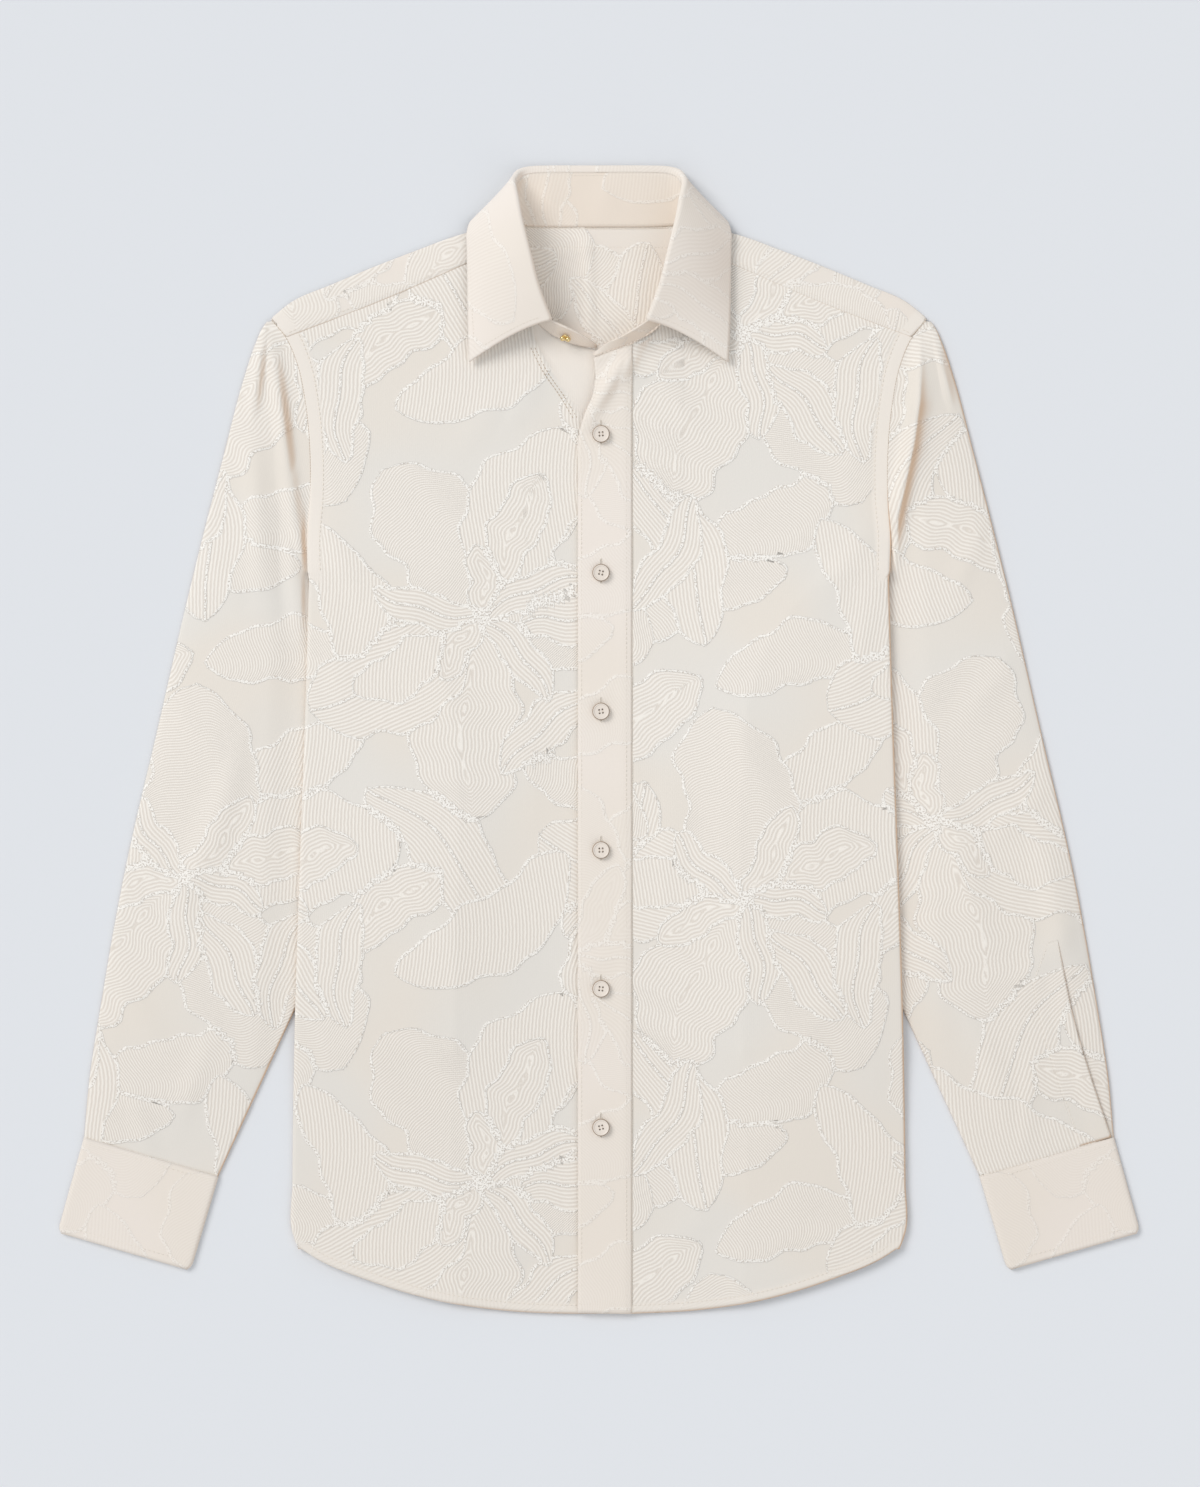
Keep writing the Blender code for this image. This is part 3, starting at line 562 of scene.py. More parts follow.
def figure(coords):
    """The repeat at cloth coordinates in mm: two numbers for each of the three layers, and their motifs.

    Where two motifs of a layer meet, the distance falls to nothing, which draws an edge there.
    """
    flat = coords.reshape(-1, 2)
    x, y = flat[:, 0] % REPEAT[0], flat[:, 1] % REPEAT[1]
    edges, second = np.full((2, len(flat), 3), -RIDGE_REACH)
    ribs, owner = np.zeros((len(flat), 3)), np.zeros((len(flat), 3), int)
    for number, row in enumerate(MOTIFS, 1):
        layer = row[7]
        for dx in (-REPEAT[0], 0, REPEAT[0]):
            for dy in (-REPEAT[1], 0, REPEAT[1]):
                near = np.hypot(x + dx - row[0], y + dy - row[1]) < row[3] + 14
                if not near.any():
                    continue
                inside, across = one_motif(x[near] + dx, y[near] + dy, row)
                best = edges[near, layer]
                wins = inside > best
                second[near, layer] = np.maximum(second[near, layer], np.where(wins, best, inside))
                places = np.flatnonzero(near)[wins]
                edges[places, layer] = inside[wins]
                ribs[places, layer] = across[wins]
                owner[places, layer] = number
    edges = np.minimum(np.minimum(edges, edges - second), RIDGE_REACH)
    return [values.reshape(*coords.shape[:-1], 3) for values in (edges, ribs, owner)]


sample = figure(np.stack(np.meshgrid(np.arange(0, REPEAT[0], 4.0), np.arange(0, REPEAT[1], 4.0)), axis=-1))[0]
print("motifs:", len(MOTIFS), "share of the cloth in figure:", round(float((sample.max(-1) > 0).mean()), 2))

# %% [markdown]
# ## The woven material
#
# Cream cotton with a fleecy white float for the outlines. The ground is a smooth plain weave with
# almost no gloss, and the ribs stand up a third of a millimetre. The real weave has about thirty
# threads to a centimetre, which is finer than the picture shows, so it is drawn twice as coarse.

# %% Jacquard material
def smooth_step(tree, value, low, high):
    """0 below low, 1 above high, and an even slope between them. low may be above high."""
    step = node(tree, "ShaderNodeMapRange", {0: value, 1: low, 2: high}, interpolation_type="SMOOTHSTEP")
    return step.outputs[0]


def maths(tree, operation, a, b=0.0):
    return node(tree, "ShaderNodeMath", {0: a, 1: b}, operation=operation).outputs[0]


def blend(tree, share, low, high):
    """A mix of two numbers."""
    return node(tree, "ShaderNodeMix", {"Factor": share, "A": low, "B": high}).outputs[0]


def tint(tree, share, low, high):
    """A mix of two colours."""
    mix = node(tree, "ShaderNodeMix", {"Factor": share}, data_type="RGBA")
    for socket, value in ((mix.inputs[6], low), (mix.inputs[7], high)):
        if isinstance(value, bpy.types.NodeSocket):
            tree.links.new(value, socket)
        else:
            socket.default_value = value
    return mix.outputs[2]


def jacquard(name, ground, warm, relief=1.0, rib_share=0.9, painted_warm_shade=0.9, bright="#fffdf8", pressed="#f0eae2"):
    """Woven cotton with a raised figure. Its ground drifts between two tones; pressed bands have a third. Painted shade
    is mixed into the colour: deeper towards the hem and the right side, and warmer on folds facing away from the key
    lamp.
    """
    material = bpy.data.materials.new(name)
    material.use_nodes = True
    tree = material.node_tree
    shader = tree.nodes["Principled BSDF"]
    cloth_map = node(tree, "ShaderNodeUVMap", uv_map="cloth").outputs[0]
    edge = node(tree, "ShaderNodeSeparateXYZ", {0: node(tree, "ShaderNodeAttribute", attribute_name="edges").outputs["Vector"]})
    rib = node(tree, "ShaderNodeSeparateXYZ", {0: node(tree, "ShaderNodeAttribute", attribute_name="ribs").outputs["Vector"]})
    plain = node(tree, "ShaderNodeAttribute", attribute_name="plain").outputs["Fac"]
    figured = maths(tree, "SUBTRACT", 1.0, plain)

    # The cloth map is in metres, so a scale of 1000 makes cells one millimetre wide
    fleece = node(tree, "ShaderNodeTexNoise", {"Vector": cloth_map, "Scale": 850.0, "Detail": 2.0}).outputs[0]
    wander = node(tree, "ShaderNodeTexNoise", {"Vector": cloth_map, "Scale": 260.0, "Detail": 1.0}).outputs[0]
    drift = node(tree, "ShaderNodeTexNoise", {"Vector": cloth_map, "Scale": 9.0, "Detail": 1.0}).outputs[0]
    wobble = maths(tree, "MULTIPLY", maths(tree, "SUBTRACT", wander, 0.5), 1.5)

    inside, line, shown = None, None, rib.outputs[0]
    for k in range(3):
        distance = maths(tree, "ADD", edge.outputs[k], wobble)
        within = smooth_step(tree, distance, -0.3, 0.3)
        outline = smooth_step(tree, maths(tree, "ABSOLUTE", distance), 1.45, 0.7)
        if k == 0:
            inside, line = within, outline
        else:
            uncovered = maths(tree, "MULTIPLY", line, maths(tree, "SUBTRACT", 1.0, within))
            line = maths(tree, "MAXIMUM", uncovered, outline)
            inside = maths(tree, "MAXIMUM", inside, within)
            shown = blend(tree, maths(tree, "GREATER_THAN", edge.outputs[k], 0.0), shown, rib.outputs[k])
    vein = smooth_step(tree, maths(tree, "ABSOLUTE", maths(tree, "ADD", shown, wobble)), 1.3, 0.6)
    line = maths(tree, "MAXIMUM", line, maths(tree, "MULTIPLY", vein, inside))
    line = maths(tree, "MULTIPLY", line, figured)
    inside = maths(tree, "MULTIPLY", inside, figured)
    ribbed = maths(tree, "MULTIPLY", inside, maths(tree, "SUBTRACT", 1.0, line))

    bent = maths(tree, "ADD", shown, maths(tree, "MULTIPLY", maths(tree, "SUBTRACT", wander, 0.5), 0.9))
    phase = maths(tree, "MULTIPLY", bent, 2 * math.pi / RIB_PITCH)
    wave = maths(tree, "ADD", maths(tree, "MULTIPLY", maths(tree, "COSINE", phase), 0.5), 0.5)
    threads = node(tree, "ShaderNodeTexWave", {"Vector": cloth_map, "Scale": 230.0, "Distortion": 1.2, "Detail": 1.0}).outputs[1]
    speck = smooth_step(tree, fleece, 0.34, 0.52)

    height = maths(tree, "MULTIPLY", maths(tree, "MULTIPLY", wave, ribbed), 0.53 * rib_share)
    fluffy = maths(tree, "ADD", maths(tree, "MULTIPLY", speck, 0.55), 0.45)
    height = maths(tree, "ADD", height, maths(tree, "MULTIPLY", line, fluffy))
    height = maths(tree, "ADD", height, maths(tree, "MULTIPLY", inside, 0.3))
    height = maths(tree, "ADD", height, maths(tree, "MULTIPLY", threads, 0.07))
    height = maths(tree, "ADD", height, maths(tree, "MULTIPLY", fleece, 0.12))
    bump = node(tree, "ShaderNodeBump", {"Height": height, "Strength": relief, "Distance": 0.00038})

    base = tint(tree, smooth_step(tree, drift, 0.36, 0.62), linear(ground), linear(warm))
    base = tint(tree, plain, base, linear(pressed))
    # The grooves between the ribs are painted darker, #e3dcd3, by the same wave that lowers them: painted shade in the
    # grooves
    ribs_with_groove_shade = tint(tree, wave, linear("#e3dcd3"), linear("#f9f5ee"))
    base = tint(tree, maths(tree, "MULTIPLY", ribbed, rib_share), base, ribs_with_groove_shade)
    # The fleecy floats are painted darker, #d3cac0, where the speck noise also lowers them: painted shade in the
    # fleece's hollows, with white tops
    floats = tint(tree, speck, linear("#d3cac0"), linear(bright))
    base = tint(tree, maths(tree, "MULTIPLY", line, 0.85 * relief), base, floats)
    # Painted shade: the window is nearest the left shoulder, so the hem and the right side are painted a little deeper
    # in tone
    place = node(tree, "ShaderNodeSeparateXYZ", {0: node(tree, "ShaderNodeTexCoord").outputs["Object"]})
    far = maths(tree, "MULTIPLY", smooth_step(tree, place.outputs[1], 0.1, -0.34), 0.085)
    far = maths(tree, "ADD", far, maths(tree, "MULTIPLY", smooth_step(tree, place.outputs[0], 0.02, 0.34), 0.05))
    base = tint(tree, far, base, linear("#a89a8a"))
    # Painted shade: what lights a fold's dark side has come off the cloth beside it, so cloth facing away from the key
    # lamp is painted warmer there
    normal = node(tree, "ShaderNodeNewGeometry").outputs["Normal"]
    lit = node(tree, "ShaderNodeVectorMath", {0: normal, 1: unit(np.array(KEY_AT))}, operation="DOT_PRODUCT").outputs[1]
    shade = maths(tree, "MULTIPLY", smooth_step(tree, lit, 0.5, -0.05), painted_warm_shade)
    base = tint(tree, shade, base, linear("#dcbb9c"))
    tree.links.new(base, shader.inputs["Base Color"])
    tree.links.new(bump.outputs[0], shader.inputs["Normal"])
    shader.inputs["Roughness"].default_value = 0.78
    shader.inputs["Specular IOR Level"].default_value = 0.25
    shader.inputs["Sheen Weight"].default_value = 0.18
    shader.inputs["Sheen Roughness"].default_value = 0.5
    return material


body_weave = jacquard("cotton_jacquard", "#e8e5df", "#eae4db")
inner_weave = jacquard("cotton_jacquard_inside", "#ece6de", "#eee6dd", 0.8, painted_warm_shade=0.4)
double_weave = jacquard("cotton_jacquard_pressed", "#f1e9e1", "#eee6dc", 0.6, 0.25, painted_warm_shade=0.22)
# The stand's cloth is a darker, warmer copy of the pressed collar cloth: painted shade, as the stand lies in the
# collar's shade
stand_weave_painted_shade = jacquard("cotton_jacquard_stand_painted_shade", "#efe4d8", "#ece2d6", 0.6, 0.25, painted_warm_shade=0.22, pressed="#ede2d5")
print("woven materials:", body_weave.name, inner_weave.name, double_weave.name, stand_weave_painted_shade.name)

# %% [markdown]
# ## A sheet of cloth from rows of points
#
# Every piece below is one or more grids of points on the middle of its cloth. Grids that share an
# edge are welded. The figure is read at each point's place in the flat cloth, the raised parts are
# lifted a little, and Solidify gives the sheet its thickness. The result is made a plain mesh.

# %% Cloth builder
FIGURE_RISE = 0.28  # how far the raised figure stands above the ground


def weld(points):
    """Numbers for the points, the same for points within a hundredth of a millimetre."""
    _, first, number = np.unique(np.round(points * 100).astype(int), axis=0, return_index=True, return_inverse=True)
    return first, number.ravel()


def quads(rows, cols, start):
    i = np.arange(rows - 1)[:, None] * cols + np.arange(cols - 1)[None, :] + start
    return np.stack([i, i + 1, i + cols + 1, i + cols], axis=-1).reshape(-1, 4)


def cloth(name, grids, cut, thickness, material, node_name, even=True, lift_by=1.0):
    """A sheet from grids, each (points, flat places of the points, how plain each is). cut is in mm."""
    points = np.concatenate([g[0].reshape(-1, 3) for g in grids])
    flat = np.concatenate([g[1].reshape(-1, 2) for g in grids])
    plain = np.concatenate([np.broadcast_to(g[2], g[0].shape[:2]).reshape(-1) for g in grids])
    starts = np.cumsum([0] + [g[0].shape[0] * g[0].shape[1] for g in grids])
    faces = np.concatenate([quads(*g[0].shape[:2], s) for g, s in zip(grids, starts)])
    first, number = weld(points)
    faces = number[faces]
    keep = np.array([len(set(f)) > 2 for f in faces.tolist()])
    edges, ribs, owner = figure(flat[first])
    # Where a cell joins two motifs, its ribs would be smeared, so an outline covers it
    for layer in range(3):
        inside = (edges[faces, layer] > 0).all(axis=1)
        mixed = inside & (np.ptp(owner[faces, layer], axis=1) > 0)
        at = np.unique(faces[mixed])
        edges[at, layer] = np.minimum(edges[at, layer], 0.6)
    faces = [list(dict.fromkeys(f)) for f in faces[keep].tolist()]
    mesh = bpy.data.meshes.new(name)
    mesh.from_pydata((points[first] * MM).tolist(), [], faces)
    for label, kind, values in (("edges", "FLOAT_VECTOR", edges), ("ribs", "FLOAT_VECTOR", ribs), ("plain", "FLOAT", plain[first])):
        layer = mesh.attributes.new(label, kind, "POINT")
        layer.data.foreach_set("vector" if kind == "FLOAT_VECTOR" else "value", np.ascontiguousarray(values, np.float32).ravel())
    loops = np.zeros(len(mesh.loops), int)
    mesh.loops.foreach_get("vertex_index", loops)
    mesh.uv_layers.new(name="cloth").data.foreach_set("uv", (flat[first] * MM)[loops].astype(np.float32).ravel())
    bm = bmesh.new()
    bm.from_mesh(mesh)
    bmesh.ops.recalc_face_normals(bm, faces=bm.faces[:])
    area = sum(f.calc_area() for f in bm.faces)
    bm.normal_update()
    raised = FIGURE_RISE * lift_by * np.clip(edges.max(axis=1) / 1.5 + 0.5, 0, 1) * (1 - plain[first])
    for vertex, rise in zip(bm.verts, raised.tolist()):
        vertex.co += vertex.normal * vertex.normal.z * (rise * MM)
    bm.to_mesh(mesh)
    bm.free()
    mesh.shade_smooth()
    mesh.materials.append(material)
    sheet = bpy.data.objects.new(name, mesh)
    bpy.context.scene.collection.objects.link(sheet)
    wall = sheet.modifiers.new("wall", "SOLIDIFY")
    wall.thickness, wall.offset, wall.use_even_offset = thickness * MM, 0, even
    settle(sheet)
    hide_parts(node_name)
    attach(sheet, "root")
    print(f"{name}: {len(sheet.data.polygons)} faces, {area * 1e4:.0f} cm2 of cloth, {area / (cut[0] * cut[1] * 1e-6):.2f} of its cut")
    return sheet


def settle(obj):
    """Replaces an object's mesh by what its modifiers make of it, and removes them."""
    graph = bpy.context.evaluated_depsgraph_get()
    made = bpy.data.meshes.new_from_object(obj.evaluated_get(graph), preserve_all_data_layers=True, depsgraph=graph)
    obj.modifiers.clear()
    obj.data = made


def lifted(plan, height, side=1):
    """Plan points (out, up) as points of the shirt, at the height that a ply has there."""
    x, y = side * plan[..., 0], plan[..., 1]
    return np.stack([x, y, height(x, y)], axis=-1)


def refine(count, cell):
    """How many cells a length of count millimetres takes."""
    return max(2, int(round(count / cell)))


# %% [markdown]
# ## The fronts
#
# Each front runs from the yoke seam to the curved hem. Its outer edge follows the armhole, then
# the side, where the cloth turns under the body. A flat-felled seam leaves a plain band beside
# the armhole, and the hem is turned up and stitched, so both are a little thicker.

# %% Shapes of the fronts
CELL = 2.6
YOKE_ROWS = np.linspace(286.3, YOKE_SEAM_Y, 12)
ARM_ROWS = np.concatenate([np.linspace(275, YOKE_SEAM_Y, 6)[:-1], np.linspace(YOKE_SEAM_Y, NICK_Y, 58)])
SIDE_ROWS = np.concatenate([[109], np.linspace(106, -345, 176)])
TUCK = CLOTH / 2 + 1.5 * PITCH
BAND, HEM_BAND = 9.5, 7.0  # the plain band at the armhole, and the turned hem
FACING_EDGE = [(-44.5, 276), (-40.8, 266.6), (-32, 249.6), (-22.4, 236), (-12.9, 220.3), (-9, 212)]


def side_line(arm_rows):
    """The outer edge of a body panel: the armhole at arm_rows, then the side down to the hem."""
    return np.vstack([between(ARMHOLE, arm_rows) - (SEAM_GAP, 0), between(BODY_SIDE, SIDE_ROWS) - (TUCK, 0)])


def turned_side(edge, side, lower, reach, steps, strip_cells=24):
    """The columns past a panel's last one: round the fold, then back under the body."""
    x, y, z = np.abs(edge[:, 0]), edge[:, 1], edge[:, 2]
    low = lower(edge[:, 0], y)
    columns, run = [], []
    for angle in np.linspace(0, math.pi, steps + 1):
        columns.append((x + reach * math.sin(angle), y, (z + low) / 2 + (z - low) / 2 * math.cos(angle)))
        run.append(np.full(len(y), reach * angle))
    width = turned_width(y) - TUCK
    hem_rise = 35 * np.clip((-200 - y) / 145, 0, 1)
    for share in np.linspace(0, 1, strip_cells + 1)[1:]:
        at_x, at_y = x - width * share, y + hem_rise * share
        columns.append((at_x, at_y, lower(side * at_x, at_y)))
        run.append(reach * math.pi + width * share)
    points = np.stack([np.stack([side * a, b, c], axis=-1) for a, b, c in columns], axis=1)
    flat = np.stack([side * (x[:, None] + np.stack(run, axis=1)), np.repeat(y[:, None], len(run), axis=1)], axis=-1)
    return points, flat


def front_plan(neck, centre, top_cells=74, neck_cells=22):
    outer = side_line(ARM_ROWS)
    seam = smooth_curve(YOKE_FRONT[::-1])(np.linspace(0, 1, top_cells)) - (0, SEAM_GAP)
    round_neck = smooth_curve(neck)(np.linspace(0, 1, neck_cells))[1:]
    top = np.vstack([seam, round_neck])
    hem = smooth_curve([tuple(outer[-1])] + [p for p in HEM[1:] if p[0] > centre[-1][0]] + [centre[-1]])
    bottom = hem(np.linspace(0, 1, len(top)))
    return coons(top, bottom, outer, smooth_curve(centre)(shares(outer)))


def from_armhole(x, y):
    """How far a point is inside the armhole seam, in the plan."""
    line = smooth_curve(ARMHOLE)(np.linspace(0, 1, 60))
    away = np.min([np.hypot(np.abs(x) - a, y - b) for a, b in line], axis=0)
    return np.where(y > NICK_Y - 4, away, 99)


def from_hem(x, y):
    return y - table(HEM, 0)(np.abs(x))


def bands(x, y):
    """How plain each point is, and how far the armhole band and the hem stand up."""
    arm, hem = from_armhole(x, y), from_hem(x, y)
    on_arm = np.clip((BAND - arm) / 1.5 + 0.5, 0, 1)
    on_hem = np.clip((HEM_BAND - hem) / 1.5 + 0.5, 0, 1)
    dip = 0.3 * np.exp(-(((arm - BAND) / 1.6) ** 2)) + 0.25 * np.exp(-(((hem - HEM_BAND) / 1.6) ** 2))
    past = x - table(FACING_EDGE)(y)
    near = np.clip((y - 214) / 6, 0, 1) * (x < 0) * np.clip((x + 62) / 14, 0, 1)
    facing = np.clip((y - 214) / 6, 0, 1) * (x < 0) * np.clip(past / 1.5 + 0.5, 0, 1)
    cord = near * 1.0 * np.exp(-(((past + 0.8) / 1.2) ** 2))
    return np.maximum.reduce([on_arm, on_hem * 0.75, facing]), 0.4 * np.maximum(on_arm, on_hem) - dip + cord + 0.4 * near * (1 - facing)


def dressed(grid, centre_plain=None):
    """A front's points with its bands raised, its flat places, and how plain it is."""
    plain, rise = bands(grid[..., 0], grid[..., 1])
    grid = grid.copy()
    grid[..., 2] += rise
    return grid, grid[..., :2].copy(), plain


def lip(edge, out, drop_to, amount=1.0):
    """A seam's rounded edge: rows of points from an edge outwards and down to the cloth below."""
    rows = []
    for away, down in ((0, 0), (0.45, 0.18), (0.8, 0.5), (0.95, 1.0)):
        row = edge.copy()
        row[:, :2] += out * (away * amount)
        row[:, 2] += (drop_to - edge[:, 2]) * down * amount.ravel() if down else 0
        rows.append(row)
    points = np.stack(rows, axis=0)
    return points, points[..., :2].copy(), np.ones(points.shape[:2])


def armhole_lip(edge, side):
    """The lip of a body panel's edge over the sleeve. It dies out at the underarm."""
    way = unit(np.gradient(edge[:, :2] * (side, 1), axis=0))
    out = np.stack([np.abs(way[:, 1]), np.abs(way[:, 0])], axis=-1) * (side, 1)
    fade = np.clip((edge[:, 1] - NICK_Y) / 2.5, 0, 1)[:, None]
    return lip(edge, out, np.full(len(edge), CLOTH / 2 + PITCH + 0.3), fade)


def tongue(grid, cells):
    """Three millimetres of a front that lie under the yoke's edge."""
    row = grid[0, : cells + 1].copy()
    under = row + (0, 3, -0.02)
    points = np.stack([row, under])
    return points, points[..., :2].copy(), np.ones(points.shape[:2])


def add_turn(grid, side, under):
    edge = grid[len(ARM_ROWS) :, 0].copy()
    points, flat = turned_side(edge, side, under, TUCK - CLOTH / 2, 8)
    nick = np.broadcast_to(grid[len(ARM_ROWS) - 1, 0], points[:1].shape)
    points, flat = np.concatenate([nick, points]), np.concatenate([nick[..., :2], flat])
    return points, flat, np.zeros(points.shape[:2])


# %% Front on the left, under the placket
left_height = front_height("left")
end = (-UNDERLAP, NECK_FRONT[-1][1])
left_plan = front_plan(NECK_FRONT + [end], [end, (-UNDERLAP, HEM[-1][1])])
left_grid = dressed(lifted(left_plan, left_height, -1))
cloth(
    "front_left_cloth",
    [
        left_grid, add_turn(left_grid[0], -1, PLY["front under"]),
        armhole_lip(left_grid[0][: len(ARM_ROWS), 0], -1), tongue(left_grid[0], 73),
    ],
    (305, 728),
    THIN, body_weave, "front_left",
)

# %% Front on the right, with the strip that carries the placket
right_height = front_height("right")
centre = [NECK_RIGHT[-3], (PLACKET_RIGHT, HEM[-2][1])]
right_grid = dressed(lifted(front_plan(NECK_RIGHT[:-2], centre), right_height))


def placket_plan(edge_inset=0.0, cells=15):
    """The placket in the plan, from its stitched side to its free edge."""
    rows = shares(side_line(ARM_ROWS))
    stitched = smooth_curve([NECK_RIGHT[-3], (PLACKET_RIGHT, HEM[-2][1])])(rows)
    free = smooth_curve(PLACKET_EDGE)(rows) + (edge_inset, 0)
    across = np.linspace(0, 1, cells)
    top = smooth_curve(NECK_RIGHT[-3:])(across) + across[:, None] * (edge_inset, 0)
    bottom = stitched[-1] + across[:, None] * (free[-1] - stitched[-1])
    return coons(top, bottom, stitched, free)


strip = lifted(placket_plan(1.2), right_height)
strip[:, 1:4, 2] -= (0.8, 0.7, 0.3)
strip[:, 0, 2] = right_grid[0][:, -1, 2]
cloth(
    "front_right_cloth",
    [
        right_grid, add_turn(right_grid[0], 1, PLY["front under"]), (strip, strip[..., :2].copy(), np.zeros(strip.shape[:2])),
        armhole_lip(right_grid[0][: len(ARM_ROWS), 0], 1), tongue(right_grid[0], 73),
    ],
    (303, 728),
    THIN, body_weave, "front_right",
)

# %% [markdown]
# ## The placket
#
# The band down the front edge is folded double and pressed, so it is smoother and stiffer than
# the fronts. It is stitched along its fixed side and near its free edge.

# %% Placket
on_front = lambda x, y: right_height(x, y) + (THIN + THIN_DOUBLE) / 2 + 0.1
placket_grid = lifted(placket_plan(0, 25), on_front)
placket_grid[..., 2] -= 0.75 * np.exp(-((np.arange(25) / 2.2) ** 2)) + 0.25 * np.exp(-np.arange(25)[::-1] / 0.9)
placket_flat = placket_grid[..., :2] * (1, 1) + (118, 40)
cloth("placket_cloth", [(placket_grid, placket_flat, np.full(placket_grid.shape[:2], 0.15))], (37, 656), THIN_DOUBLE, double_weave, "placket")

# %% [markdown]
# ## Back and yoke
#
# The back is one panel below the yoke. Its sides turn under inside the folds of the fronts. The
# yoke is a single piece over both shoulders: its lower half shows inside the neck, and its flaps
# come over to the front and are stitched down there.

# %% Back
right = side_line(ARM_ROWS[5::3])
right = np.vstack([side_line(ARM_ROWS[5:])[: len(ARM_ROWS) - 5 : 2], side_line(ARM_ROWS[5:])[len(ARM_ROWS) - 5 :][::2]])
right[0, 1] -= SEAM_GAP
hem = smooth_curve([tuple(right[-1])] + HEM[1:])(np.linspace(1, 0, 42)) + (0, 3)
bottom = np.vstack([(hem * (-1, 1))[:0:-1], hem])
top = np.linspace(right[0] * (-1, 1), right[0], len(bottom))
back_grid = lifted(coons(top, bottom, right * (-1, 1), right), PLY["back"])
grids = [(back_grid, back_grid[..., :2] * (-1, 1) + (60, 90), 0.0)]
for side, column in ((-1, 0), (1, -1)):
    edge = back_grid[:, column]
    edge = edge[edge[:, 1] < NICK_Y - 2]
    points, flat = turned_side(edge, side, PLY["back under"], PITCH / 2, 4, 12)
    grids.append((points, flat * (-1, 1) + (60, 90), 0.0))
cloth("back_cloth", grids, (576, 652), THIN, inner_weave, "back")

# %% Yoke
flap_cells, neck_cells, fold = 80, 44, CLOTH / 2 + PITCH / 2
on_floor = lambda x, y: PLY["back"](x, y) + 0.03
edge = smooth_curve(SHOULDER[::-1])(np.linspace(0, 1, flap_cells + 1))
turned = edge - (0, fold)
side_rows = between(ARMHOLE, YOKE_ROWS) - (SEAM_GAP, 0)
side_rows[-1, 1] += SEAM_GAP
turned[0] = side_rows[0]
neck = np.linspace(turned[-1] * (-1, 1), turned[-1], neck_cells + 1)[1:-1] + (0, fold)
top = np.vstack([turned * (-1, 1), neck, turned[::-1]])
side_rows = side_rows[np.unique(np.linspace(0, len(side_rows) - 1, 12).astype(int))]
bottom = np.linspace(side_rows[-1] * (-1, 1), side_rows[-1], len(top))
plan = coons(top, bottom, side_rows * (-1, 1), side_rows)
fine = np.linspace(0, len(plan) - 1, 34)
low_row = np.minimum(fine.astype(int), len(plan) - 2)
part = (fine - low_row)[:, None, None]
plan = plan[low_row] * (1 - part) + plan[low_row + 1] * part
yoke_main = lifted(plan, on_floor)
soft = np.clip((270 - np.abs(plan[..., 0]) * 4) / 60, 0, 1) * np.clip((348 - plan[..., 1]) / 12, 0, 1)
crease = 2.0 * np.exp(-(((plan[..., 0] + 7 + 0.02 * (plan[..., 1] - 300)) / 4.2) ** 2)) * np.clip((plan[..., 1] - 262) / 30, 0, 1)
crease += 0.5 * np.exp(-(((plan[..., 0] - 26) / 9) ** 2))
yoke_main[..., 2] += soft * crease * np.clip((yoke_main[..., 1] - 263) / 6, 0, 1)
grids = [(yoke_main, plan * (1, -1) + (40, 20), 0.0)]
seam = smooth_curve(YOKE_FRONT[::-1])(np.linspace(0, 1, flap_cells + 1)) + (0, SEAM_GAP)
seam[0] -= (SEAM_GAP, 0)
YOKE_FLAPS = {}
for side, ply in ((-1, "left"), (1, "right")):
    low, high = lifted(turned, on_floor, side), lifted(turned, PLY[ply], side)
    rows = []
    for angle in np.linspace(0, math.pi, 5):
        row = (low + high) / 2 + (low - high) / 2 * math.cos(angle)
        row[:, 1] = turned[:, 1] + (fold - CLOTH / 2) * math.sin(angle)
        rows.append(row)
    for share in np.linspace(0, 1, 8)[1:]:
        spot = turned * (1 - share) + seam * share
        row = lifted(spot, PLY[ply], side)
        row[:, 2] += 0.8 * np.clip(1.6 * share, 0, 1)
        rows.append(row)
    for out, down in ((0.35, 0.15), (0.5, 0.55)):
        rows.append(rows[12 - 1 if out == 0.35 else 12 - 1] + (0, -out, -down))
    flap = np.stack(rows, axis=0)
    YOKE_FLAPS[side] = flap
    flat = flap[..., :2] * (1, 1) + (150 + 30 * side, 62)
    flat[0], flat[1] = flat[2], flat[2]
    from_seam = from_armhole(flap[..., 0], flap[..., 1])
    band = np.clip((BAND - from_seam) / 1.5 + 0.5, 0, 1)
    flap[7:, :, 2] += (0.2 * band - 0.2 * np.exp(-(((from_seam - BAND) / 1.4) ** 2)))[7:]
    grids.append((flap, flat, np.maximum(band, 0.15)))
    grids.append(armhole_lip(flap[2:12, 0], side))
grids += [armhole_lip(yoke_main[:, 0], -1), armhole_lip(yoke_main[:, -1], 1)]
cloth("yoke_cloth", grids, (448, 172), THIN, inner_weave, "yoke")

# %% [markdown]
# ## Sleeves and cuffs
#
# A sleeve is a tube that lies flat, so it is one sheet round both edges, open only along the seam
# at the armhole. The cuff is a stiff double band with slightly rounded corners.

# %% Tubes that lie flat
SLEEVE_AXIS = np.array([math.cos(math.radians(103)), math.sin(math.radians(103))])
SLEEVE_CROSS = np.array([-SLEEVE_AXIS[1], SLEEVE_AXIS[0]])
SLEEVE_FLAT = {-1: (0, 46), 1: (130, 190)}  # where each sleeve was cut from the repeat


